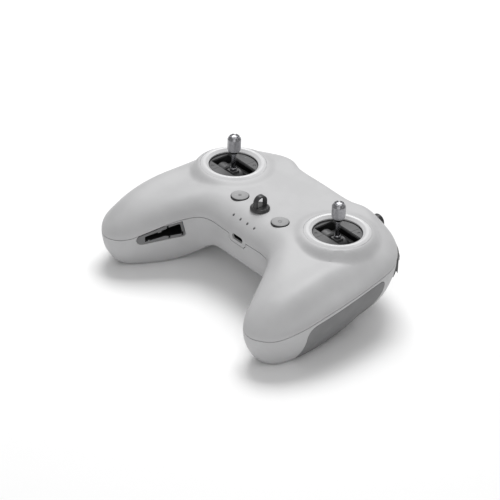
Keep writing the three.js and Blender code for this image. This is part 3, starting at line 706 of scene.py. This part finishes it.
gap = 0.3
pad = {"thickness": 1.6, "lowest": -49.6, "flank": 64}
port = {"height": -14.6, "halfWidth": 4.5, "halfHeight": 1.65, "tab": 7.2, "drop": 3.7}
lanyard = {"y": -17.8, "hole": 3.3}
deckKey = {"x": 17.4, "y": -17.9, "radius": 4.95, "top": -0.35}
lamp = {"xs": (-8.9, -2.95, 2.95, 8.9), "y": -29, "radius": 0.6}
gimbal = {"opening": 14.1, "pivot": -9}
insert = {"x": 40.6, "y": -48, "z": -26.6, "depth": 10, "slotDepth": 7.5, "lean": 14}
screws = {
    "sites": {"far": (24, 27, -14, -26), "near": (30, -28, -15, -31), "grip": (62, -67.5, -28.5, -38)},
    "head": 2.6, "headHeight": 1.8, "shank": 1.25, "length": 10, "boss": 3.5,
}


def padSpace(grow):
    far = (4.5 + grow, -17.9 + grow)
    outline = path(
        far, ((-24, -20.2 + grow), (-44, -24.4 + grow)),
        ((-49.5 - grow, -25.8 + grow), (-50 - grow, -31)), ((-50 - grow, -42), (-51.5 - grow, -46)),
        (-51.5 - grow, -60), (-12 + grow, -60), ((0 + grow, -48), (6 + grow, -32)),
        ((10.5 + grow, -18.6 + grow), far), steps=12)
    space = placed(prism(outline, pad["flank"] - grow, 95), sideways)
    return common(space, block((0, -90, pad["lowest"] - grow), (100, 40, 0)))


insertHeading = math.atan2(
    form["nearEdge"][1][1] - form["nearEdge"][5][1], form["nearEdge"][1][0] - form["nearEdge"][5][0])
insertPlace = shift(insert["x"], insert["y"], insert["z"]) @ Matrix.Rotation(insertHeading, 4, "Z") \
    @ Matrix.Rotation(math.radians(insert["lean"]), 4, "Y")


def plug(outline, near, far, edge=0.0):
    # a drawing in X-Z, run along Y from near to far
    return placed(prism(outline, -far, -near, edge), endways)


def insertSpace(grow):
    outline = path(
        (-8 - grow, 7 + grow), (14, 6 + grow), ((20.5 + grow, 4.4 + grow), (19 + grow, 0.7)),
        ((18 + grow, -1.1 - grow), (14, -1.2 - grow)), (-5.6, -2.9 - grow),
        ((-8 - grow, -3.1 - grow), (-8 - grow, -0.8)))
    return placed(plug(outline, -12, insert["depth"] + grow), insertPlace)


shoulder = {
    "inner": 32, "outer": 69.5, "low": -27.6, "high": -14.45, "corner": 5,     # room of a dark panel
    "proud": 0.8, "panel": 1.8, "window": 7, "dialRadius": 9, "dialWidth": 6.4, "dialSunk": 6.6,
    "keyRadius": 4.4, "keyProud": 2.6, "slider": (2.6, 1.9, 2, 2.4), "toggle": (2.4, 1.3, 2.4, 1.6),
}


def shoulderSpace(grow):
    # the cut in the shell is open upwards, to the parting line
    inner, outer, low = shoulder["inner"] - grow, shoulder["outer"] + grow, shoulder["low"] - grow
    high = shoulder["high"] + 5 * grow
    corner = shoulder["corner"] + grow
    outline = roundedCorners([(inner, low), (outer, low), (outer, high), (inner, high)],
                             [corner, corner, 1.2 - 4 * grow, 1.2 - 4 * grow])
    return plug(outline, 10, 60)


def stationAt(x, height, sunk, sign):
    # a place on the far edge at a given x, with its own +Y pointing out of the body
    line = outlineAt(np.linspace(0, turnAt, 151))
    found = int(np.argmax(line[:, 0] >= x))
    a, b = line[found - 1], line[found]
    at = a + (b - a) * (x - a[0]) / (b[0] - a[0])
    turn = math.atan2(b[1] - a[1], b[0] - a[0])
    return shift(sign * at[0], at[1], height) @ Matrix.Rotation(sign * turn, 4, "Z") @ shift(y=-sunk)


stations = {
    "dial": stationAt(43, -18.6, 0, -1), "pause": stationAt(61.5, -19.6, 0.4, -1),
    "leftToggle": stationAt(49, -24.4, 2.2, -1), "record": stationAt(38.5, -9.4, 2.2, 1),
    "mode": stationAt(60, -19.4, 0.4, 1), "rightToggle": stationAt(45, -19.4, 0.6, 1),
}


# Shells

def screwPosts(radius, low, high, steps=32):
    # one post at each screw; low and high pick their heights from a site
    return joined([
        post(radius, low(site), high(site), sign * site[0], site[1], 0, steps)
        for site in screws["sites"].values() for sign in sides.values()])


def keyWindow():
    reach = shoulder["window"]
    return placed(post(shoulder["keyRadius"] + gap + 0.1, -reach, reach, steps=64), endways)


def tabSpace(grow):
    x, low = port["tab"] + grow, port["height"] - port["drop"] - grow
    outline = [(-x, -13.4), (-x + 0.3, low + 1.7), (-x + 1.9, low),
               (x - 1.9, low), (x - 0.3, low + 1.7), (x, -13.4)]
    return plug(roundedCorners(outline, [0, 1, 1, 1, 1, 0]), -40, -27)


def makeTopShell():
    shell = cut(upperForm(), wholeForm(form["topWall"]))
    bosses = screwPosts(screws["boss"], lambda site: site[2] + gap, lambda site: 4)
    shell = fused(shell, common(bosses, placed(wholeForm(0.5), shift(z=0.1))))
    shell = fused(shell, common(rind(0, form["topWall"], tabGrid), tabSpace(0)))
    shanks = screwPosts(screws["shank"] + gap, lambda site: site[2] - 2, lambda site: site[3] + 14, 16)
    shell = cut(shell, shanks)
    hole = plug(rectangle(port["halfWidth"], port["halfHeight"], 1.6), -45, -22)
    shell = cut(shell, placed(hole, shift(z=port["height"])), post(lanyard["hole"], -12, 5, 0, lanyard["y"]))
    lampHoles = [post(lamp["radius"] + 0.1, -12, 5, x, lamp["y"], 0, 20) for x in lamp["xs"]]
    shell = cut(shell, joined(lampHoles))
    tools = []
    for sign in sides.values():
        well = [(0, -14), (17.5, -14), (17.5, 0.1), (18.85, 0.1), (18.85, 1.6), (19.6, 3), (0, 3)]
        tools.append(placed(turned(well, 0, 128), shift(sign * spacing)))
        rim = deckKey["radius"] + 0.25
        keyWell = [(0, -14), (rim, -14), (rim, -1.35), (rim + 0.35, -1), (rim + 0.35, 4), (0, 4)]
        keyPlace = shift(sign * deckKey["x"], deckKey["y"])
        tools.append(placed(turned(keyWell, [0, 0, 0, 0.1, 0, 0], 72), keyPlace))
    shell = cut(shell, joined(tools))
    flangeRoom = placed(post(shoulder["keyRadius"] + 1.5, 5.3, 10, steps=48), endways)
    shell = cut(shell, placed(fused(keyWindow(), flangeRoom), stations["record"]))
    return addPiece("topShell", shell, ["top_shell"], "shell", weighted=False)


def makeBottomShell():
    shell = cut(lowerForm(), wholeForm(form["bottomWall"]))
    bosses = screwPosts(screws["boss"] + 1, lambda site: -60, lambda site: site[2])
    shell = fused(shell, common(bosses, placed(wholeForm(0.5), shift(z=-0.1))))
    shell = cut(shell, tabSpace(gap))
    shell = cut(shell, screwPosts(screws["head"] + gap, lambda site: -60, lambda site: site[3]))
    shell = cut(shell, screwPosts(screws["shank"] + gap, lambda site: -60, lambda site: 0, 16))
    recess = common(rind(-1, pad["thickness"] + gap), padSpace(gap))
    band = rind(-1, form["bottomWall"] + 2)
    panel = common(shoulderSpace(gap), band)
    for tool in (recess, insertSpace(gap), panel):
        shell = cut(shell, joined([onSide(tool, sign) for sign in sides.values()]))
    shell = cut(shell, block((-90, -90, -60), (90, 60, form["restPlane"])))
    return addPiece("bottomShell", shell, ["bottom_shell"], "shell", weighted=False)


def makeGripPads():
    shape = common(rind(0, pad["thickness"], padGrid), padSpace(0))
    for side, sign in sides.items():
        addPiece(side + "GripPad", onSide(shape, sign), [side + "_grip_pad"],
                 "pad", weighted=False)


def makeStorageInserts():
    outline = [(-6.6, 6), (0.6, 5.4), (4, 3.8), (14.5, 3.5), (14.5, 0.9), (4, 0.7), (1, -0.4), (-6.6, -1)]
    rounded = roundedCorners(outline, [0.9, 1.5, 1.5, 0.8, 0.8, 1.5, 1.5, 0.9])
    slot = placed(plug(rounded, -12, insert["slotDepth"]), insertPlace)
    body = common(wholeForm(0, medium), insertSpace(0))
    body = cut(common(body, placed(lowerForm(medium), shift(z=-gap))), slot)
    inwards = insertPlace.inverted()

    def inSlot(centre, sign):
        local = inwards @ Vector((sign * centre.x, centre.y, centre.z))
        inside = -6.65 < local.x < 14.55 and -1.05 < local.z < 6.05
        return inside and onWall(local)

    def onWall(local):
        floor = abs(local.y - insert["slotDepth"]) < 0.05
        edges = list(zip(outline, outline[1:] + outline[:1]))
        near = min(distanceTo(np.array(edge, float), np.array(local.x), np.array(local.z)) for edge in edges)
        return floor or near < 0.35

    for side, sign in sides.items():
        # walls and floor of the slot take the painted shade
        paint = ("slot", lambda centre, normal, sign=sign: inSlot(centre, sign))
        addPiece(side + "StorageInsert", onSide(body, sign), [side + "_storage_insert"],
                 "insert", [paint], weighted=False)


def makeShoulderPanels():
    reach = shoulder["window"]
    dialHole = plug(rectangle(9.3, shoulder["dialWidth"] / 2 + gap + 0.1, 1), -reach, reach)

    def sliderHole(halfLength, halfHeight, _, travel):
        return plug(rectangle(halfLength + travel + gap, halfHeight + gap, 1), -reach, reach)

    whole = common(rind(-shoulder["proud"], shoulder["panel"], medium), shoulderSpace(0))
    slider, toggle = sliderHole(*shoulder["slider"]), sliderHole(*shoulder["toggle"])
    holes = {
        "left": [(dialHole, "dial"), (keyWindow(), "pause"), (toggle, "leftToggle")],
        "right": [(slider, "mode"), (toggle, "rightToggle")],
    }
    for side, sign in sides.items():
        tools = joined([placed(hole, stations[station]) for hole, station in holes[side]])
        panel = cut(onSide(whole, sign), tools)
        addPiece(side + "ShoulderPanel", panel, [side + "_shoulder_panel"],
                 "panel", weighted=False)


def makeScrews():
    look = {"socket": 1.5, "blade": 0.42, "depth": 1.1}
    for name, (x, y, _, seat) in screws["sites"].items():
        top = seat - gap
        low = top - screws["headHeight"]
        head = turned(
            [(0, low), (screws["head"], low), (screws["head"], top), (screws["shank"], top),
             (screws["shank"], seat + screws["length"]), (0, seat + screws["length"])],
            [0, 0.5, 0.1, 0, 0.3, 0], 48)
        a, b = look["socket"], look["blade"]
        cross = [(-b, -a), (b, -a), (b, -b), (a, -b), (a, b), (b, b),
                 (b, a), (-b, a), (-b, b), (-a, b), (-a, -b), (-b, -b)]
        body = cut(head, prism(cross, low - 1, low + look["depth"]))
        for side, sign in sides.items():
            screwName = side + name.capitalize() + "Screw"
            addPiece(screwName, placed(body, shift(sign * x, y)), [f"{side}_{name}_screw"],
                     "screw")


makeTopShell()
print("top shell done")
makeBottomShell()
print("bottom shell done")
makeGripPads()
makeStorageInserts()
makeShoulderPanels()
makeScrews()
print("pads, inserts, panels and screws done")


# Deck

def makeLanyardPost():
    look = {"radius": 5.6, "top": 7.6, "half": 4, "eye": 2.7, "floor": 1.0, "thickness": 3.1}
    base = turned(
        [(0, -4.8), (3, -4.8), (3, -1.0), (look["radius"], -1.0), (look["radius"], -0.1),
         (look["radius"] - 0.8, 0.7), (0, 0.7)], [0, 0, 0, 0.1, 0.3, 0.4, 0], 72)
    middle = look["top"] - look["half"]
    turns = np.linspace(0, math.pi, 25)
    outer = arcOf(look["half"], turns, middle)
    outer = path((look["half"] + 1.2, 0.3), ((look["half"], 0.7), (look["half"], 2.2)), steps=5) + outer \
        + path((-look["half"], 2.2), ((-look["half"], 0.7), (-look["half"] - 1.2, 0.3)), steps=5)
    eye = arcOf(look["eye"], turns, middle)
    eye += [(-look["eye"], look["floor"]), (look["eye"], look["floor"])]
    half = look["thickness"] / 2
    loop = plug(outer, -half, half, 0.45)
    flare = plug(drawnIn(eye, -0.5), half - 0.35, half + 1)
    opening = plug(roundedCorners(eye, 0.4, 3), -5, 5)
    tools = [opening, flare, placed(flare, Matrix.Rotation(math.pi, 4, "Z"))]
    across = placed(cut(loop, *tools), Matrix.Rotation(math.pi / 2, 4, "Z"))
    body = placed(fused(base, across), shift(y=lanyard["y"]))
    addPiece("lanyardPost", body, ["lanyard_post"], "dark")


def makeDeckKeys():
    r, top = deckKey["radius"], deckKey["top"]
    cap = turned(
        [(0, -6.8), (1.4, -6.8), (1.4, -5.8), (r + 1, -5.8), (r + 1, -5.2), (r, -5.2), (r, top - 0.35),
         (r - 0.45, top), (r * 0.6, top - 0.16), (0, top - 0.24)],
        [0, 0, 0, 0, 0, 0, 0.25, 0.3, 3, 0], 96)
    turns = [math.radians(angle) for angle in range(130, 411, 14)]
    ring = arcOf(1.15, turns) + arcOf(0.85, turns[::-1])
    # power: an open ring and a bar; function: a lozenge ring with a dot
    bar = block((-0.14, 0.2, top - 0.6), (0.14, 1.35, top - 0.12))
    power = joined([prism(ring, top - 0.6, top - 0.12), bar])
    lozenge = cut(prism([(1.2, 0), (0, 1.2), (-1.2, 0), (0, -1.2)], top - 0.6, top - 0.12),
                  prism([(0.8, 0), (0, 0.8), (-0.8, 0), (0, -0.8)], top - 1, top + 1))
    function = joined([lozenge, post(0.28, top - 0.6, top - 0.12, steps=16)])
    for name, node, x, mark in (("powerKey", "power_button", deckKey["x"], power),
                                ("functionKey", "function_button", -deckKey["x"], function)):
        body = placed(fused(cap, mark), shift(x, deckKey["y"]))
        # side wall and flange of each key take the painted shade; its icon is print
        paints = [
            ("keySkirt", lambda c, n: c.z < top - 0.32),
            ("mark", lambda c, n, x=x: math.hypot(c.x - x, c.y - deckKey["y"]) < 1.5 and c.z > top - 0.2),
        ]
        addPiece(name, body, [node], "key", paints)


def makePort():
    # metal tube of the socket with its contact tongue
    outer = plug(rectangle(port["halfWidth"] - gap, port["halfHeight"] - gap, 1.3), -32.4, -25, 0.08)
    inner = plug(rectangle(3.95, 1.1, 1.05), -33, -26.4)
    tongue = block((-3.3, -31.8, -0.3), (3.3, -26, 0.3), 0.1)
    body = placed(fused(cut(outer, inner), tongue), shift(z=port["height"]))
    isTongue = lambda c, n: abs(c.z - port["height"]) < 0.35 and abs(c.x) < 3.4 and c.y < -26.3
    addPiece("usbPort", body, ["usb_c_port"], "screw", [("black", isTongue)])


makeLanyardPost()
makeDeckKeys()
makePort()
print("deck done")


# Gimbals

def plateSegment(radius, chord, low, high):
    # the part of a round plate beyond a chord, towards +Y
    end = math.asin(chord / radius)
    turns = np.linspace(end, math.pi - end, 41)
    radii = [0.5] + [0] * 39 + [0.5]
    return prism(roundedCorners(arcOf(radius, turns), radii, 4), low, high, 0.14)


def makeGimbalShapes():
    r, pivot = gimbal["opening"], gimbal["pivot"]
    bezel = turned(
        [(r, -0.6), (r, 0.05), (r + 1.6, 1.35), (r + 3.0, 1.7), (r + 4.65, 0.5),
         (r + 4.65, 0.3), (r + 3.1, 0.3), (r + 3.1, -4.2), (r + 1.1, -4.2), (r + 1.1, -0.6)],
        [0.1, 0.25, 0.9, 1.6, 0.1, 0.1, 0, 0.2, 0.2, 0], 144)

    disc = cut(post(r + 0.8, -2.4, -1.35, steps=128), prism(rectangle(12, 6.6, 0.8), -5, 2))
    segment = cut(plateSegment(r - 0.5, 6.9, -1.5, coverTop),
                  joined([block((3.4, 6, -1.15), (3.62, 20, 0)), post(0.85, -1.2, 0, 6.9, 9.6, 0, 24)]))
    segment = fused(segment, post(0.6, -1.4, -1.02, 6.9, 9.6, 0.08, 24))
    cover = fused(disc, segment, placed(segment, Matrix.Rotation(math.pi, 4, "Z")))

    x, y, ix, iy, half, pin = 10.5, 7.6, 7.3, 5.3, 2.9, 1.7
    ring = prism(rectangle(x, y, 1.2), pivot - half, pivot + half, 0.5)
    drum = turned([(0, -11.4), (4.4, -11.4), (5.2, -10.6), (5.2, -5.7), (4.4, -4.9), (0, -4.9)],
                  [0, 0.3, 0.4, 0.4, 0.3, 0], 64)
    pins = joined([post(pin, -16, -8, steps=32), post(pin, 8, 16, steps=32)])
    yoke = cut(ring, prism(rectangle(ix, iy, 0.6), pivot - 9, pivot + 9))
    yoke = fused(yoke, placed(drum, alongX, shift(z=pivot)), placed(pins, alongX, shift(z=pivot)))
    yoke = cut(yoke, placed(post(1.8, -12, 12, steps=32), endways, shift(z=pivot)))

    barrel = turned([(0, -4.9), (3.9, -4.9), (4.4, -4.5), (4.4, 4.5), (3.9, 4.9), (0, 4.9)],
                    [0, 0.2, 0.4, 0.4, 0.2, 0], 72)
    socket = prism(rectangle(2.6, 2.6, 0.5), pivot, pivot + 5.4, 0.3)
    axle = post(1.5, -7.3, 7.3, edge=0.2, steps=32)
    carrier = fused(placed(barrel, endways, shift(z=pivot)), socket, placed(axle, endways, shift(z=pivot)))
    carrier = cut(carrier, post(1.7, pivot + 0.5, 5, steps=32))

    shaft = post(1.4, pivot + 0.8, 14, edge=0.3, steps=40)
    low = pivot + 5.4 + gap
    collar = turned([(1.7, low), (2.05, low), (2.05, low + 1), (1.8, low + 1.4), (1.7, low + 1.4)],
                    [0, 0.1, 0.2, 0.1, 0], 48)

    foot, top, knobRadius = 7.4, 18.4, 3.9
    knob = turned(
        [(1.7, foot), (2.3, foot), (knobRadius - 0.35, foot + 1.9), (knobRadius - 0.35, foot + 2.5),
         (knobRadius, foot + 2.8), (knobRadius, top - 1.9), (knobRadius - 0.75, top - 0.5), (2.75, top),
         (2.2, top - 0.9), (1.2, top - 1.3), (0, top - 1.35), (0, 14.3), (1.7, 14.3)],
        [0, 0.2, 0.3, 0.1, 0.15, 0.5, 0.4, 0.12, 0.3, 0.5, 0, 0, 0], 96)
    groove = [(-0.62, 0.2), (-0.15, -1.0), (0.15, -1.0), (0.62, 0.2)]
    knob = cut(knob, spun(placed(prism(groove, 1.9, 6), sideways, shift(z=top)), 8))
    return bezel, cover, yoke, carrier, shaft, collar, knob


def makeGimbals():
    bezel, cover, yoke, carrier, shaft, collar, knob = makeGimbalShapes()
    onPlate = ("plate", lambda c, n: c.z > -1.34)
    # knob below its overhang takes the painted shade
    onFoot = ("knobFoot", lambda c, n: c.z < 9.35)
    for side, sign in sides.items():
        rows = [
            ("GimbalBezel", bezel, "gimbal_bezel", "bezel_plastic", "bezel", []),
            ("GimbalCover", cover, "gimbal_cover", "gimbal_plastic", "cover", [onPlate]),
            ("GimbalYoke", yoke, "gimbal_yoke", "dark_plastic", "saddle", []),
            ("StickCarrier", carrier, "stick_carrier", "dark_plastic", "saddle", []),
            ("StickShaft", shaft, "stick_shaft", "steel", "shaft", []),
            ("StickCollar", collar, "stick_collar", "satin_metal", "knob", []),
            ("StickKnob", knob, "stick_knob", "satin_metal", "knob", [onFoot]),
        ]
        for name, shape, node, slot, finish, paints in rows:
            addPiece(side + name, placed(shape, shift(sign * spacing)), [f"{side}_{node}"],
                     finish, paints)


makeGimbals()
print("gimbals done")


# Shoulder controls

def makeDial():
    r, half = shoulder["dialRadius"], shoulder["dialWidth"] / 2
    wheel = turned(
        [(1.5, -half), (r - 0.6, -half), (r, -half + 0.7), (r, half - 0.7), (r - 0.6, half), (1.5, half)],
        [0, 0.3, 0.3, 0.3, 0.3, 0], 120)
    body = cut(wheel, spun(placed(post(0.28, -5, 5, steps=8), shift(r + 0.02)), 40))
    hub = stations["dial"] @ shift(y=-shoulder["dialSunk"])
    addPiece("gimbalDial", placed(body, hub), ["gimbal_dial"], "dark")


def makeShoulderKeys():
    r, proud = shoulder["keyRadius"], shoulder["keyProud"]
    back = -shoulder["panel"] - 2.4
    key = turned(
        [(0, back - 2.6), (r + 1, back - 2.6), (r + 1, back - 1.6), (r, back - 1.6), (r, proud - 0.7),
         (r - 0.7, proud), (r * 0.5, proud - 0.2), (0, proud - 0.3)],
        [0, 0, 0, 0, 0.6, 0.5, 2, 0], 72)
    # pause: two bars; record: a disc
    bars = joined([block((x - 0.28, -1.1, proud - 1), (x + 0.28, 1.1, proud - 0.16)) for x in (-0.75, 0.75)])
    disc = post(1.15, proud - 1, proud - 0.16, edge=0.05, steps=32)
    outwards = Matrix.Rotation(-math.pi / 2, 4, "X")
    for name, node, station, mark in (("pauseKey", "pause_button", "pause", bars),
                                      ("recordKey", "record_button", "record", disc)):
        inwards = stations[station].inverted()

        def onMark(centre, normal, inwards=inwards):
            local = inwards @ centre
            return math.hypot(local.x, local.z) < 1.6 and local.y > proud - 0.27

        body = placed(fused(key, mark), outwards, stations[station])
        addPiece(name, body, [node], "dark", [("mark", onMark)])


def makeLevers():
    inside = -shoulder["panel"] - 2.4
    rows = [
        ("modeSwitch", "mode_switch", "mode", "slider", 1.4),
        ("leftToggleSwitch", "left_toggle_switch", "leftToggle", "toggle", 3.2),
        ("rightToggleSwitch", "right_toggle_switch", "rightToggle", "toggle", 3.2),
    ]
    for name, node, station, kind, footDepth in rows:
        halfLength, halfHeight, proud, travel = shoulder[kind]
        back = inside - footDepth
        cap = plug(rectangle(halfLength, halfHeight, 0.8), back, proud, 0.35)
        foot = (halfLength + 2 * travel + 0.8, halfHeight + 1)
        body = fused(cap, block((-foot[0], back - 1, -foot[1]), (foot[0], back + 0.02, foot[1])))
        ribs = [placed(post(0.22, -4, 4, steps=10), shift(x, proud)) for x in (-1.3, -0.65, 0, 0.65, 1.3)]
        body = cut(body, joined(ribs))
        addPiece(name, placed(body, stations[station]), [node], "key")


makeDial()
makeShoulderKeys()
makeLevers()
print("shoulder controls done")


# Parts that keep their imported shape

carried = {
    "gimbal_frame": "black", "sensor_board": "board", "antenna": "board", "battery_cell": "cell",
    "main_board": "board", "key_board": "board", "radio_module": "steel", "buzzer": "black",
    "dome_switch": "steel", "led_light_guide": "lamp", "dial_axle": "steel",
}
for name, node in frame["nodes"].items():
    if node.hide_render:
        continue
    kind = next(finish for part, finish in carried.items() if part in name)
    node.data.materials.clear()
    node.data.materials.append(finishes[kind])
print("packed parts finished")


# Floor, light and camera

def makeStage():
    look = {"half": 4.0, "tone": 250, "roughness": 0.7}
    size = look["half"]
    mesh = bpy.data.meshes.new("floor")
    corners = [(-size, -size, 0), (size, -size, 0), (size, size, 0), (-size, size, 0)]
    mesh.from_pydata(corners, [], [(0, 1, 2, 3)])
    finish = Finish("floorPaper")
    cloud = finish.noise(90, 2)
    pale = look["tone"]
    base = finish.mixed(cloud, tone(pale - 2, pale - 2, pale - 2), tone(pale, pale, pale))
    finish.set(Base_Color=base, Roughness=look["roughness"] + (cloud - 0.5) * 0.05, Specular_IOR_Level=0.2)
    mesh.materials.append(finish.material)
    floor = linked(bpy.data.objects.new("floor", mesh))


def makeLight():
    scene = bpy.context.scene
    scene.world = bpy.data.worlds.new("studio")
    scene.world.use_nodes = True
    sky = scene.world.node_tree.nodes["Background"]
    sky.inputs["Color"].default_value = (1, 1, 1, 1)
    sky.inputs["Strength"].default_value = 0.36
    lights = {
        # name: place in metres, aim, width, watts
        "keyLight": ((-0.4, 0.4, 1.1), (0, 0, 0), 0.7, 12.5),
        "fillLight": ((0.75, -0.7, 0.85), (0, 0, 0.03), 0.8, 3.5),
    }
    for name, (place, aim, width, power) in lights.items():
        lamp = bpy.data.lights.new(name, "AREA")
        lamp.size = width
        lamp.energy = power
        holder = linked(bpy.data.objects.new(name, lamp))
        holder.location = place
        holder.rotation_mode = "QUATERNION"
        holder.rotation_quaternion = (Vector(aim) - Vector(place)).to_track_quat("-Z", "Y")
    scene.view_settings.view_transform = "Standard"


def makeCamera():
    look = {"azimuth": 49.2, "elevation": 32.0, "roll": 2.44, "distance": 1.736, "lens": 231.0,
            "aim": (0.0312, -0.0325, 0.0503)}
    a, e, r = (math.radians(look[key]) for key in ("azimuth", "elevation", "roll"))
    back = Vector((math.sin(a) * math.cos(e), -math.cos(a) * math.cos(e), math.sin(e)))
    right = Vector((math.cos(a), math.sin(a), 0))
    up = back.cross(right)
    rolledRight = right * math.cos(r) + up * math.sin(r)
    rolledUp = up * math.cos(r) - right * math.sin(r)
    camera = linked(bpy.data.objects.new("camera", bpy.data.cameras.new("camera")))
    camera.data.lens = look["lens"]
    camera.data.sensor_width = 36
    camera.matrix_world = Matrix.Translation(Vector(look["aim"]) + back * look["distance"]) \
        @ Matrix((rolledRight, rolledUp, back)).transposed().to_4x4()
    bpy.context.scene.camera = camera


makeStage()
makeLight()
makeCamera()
print("stage done")
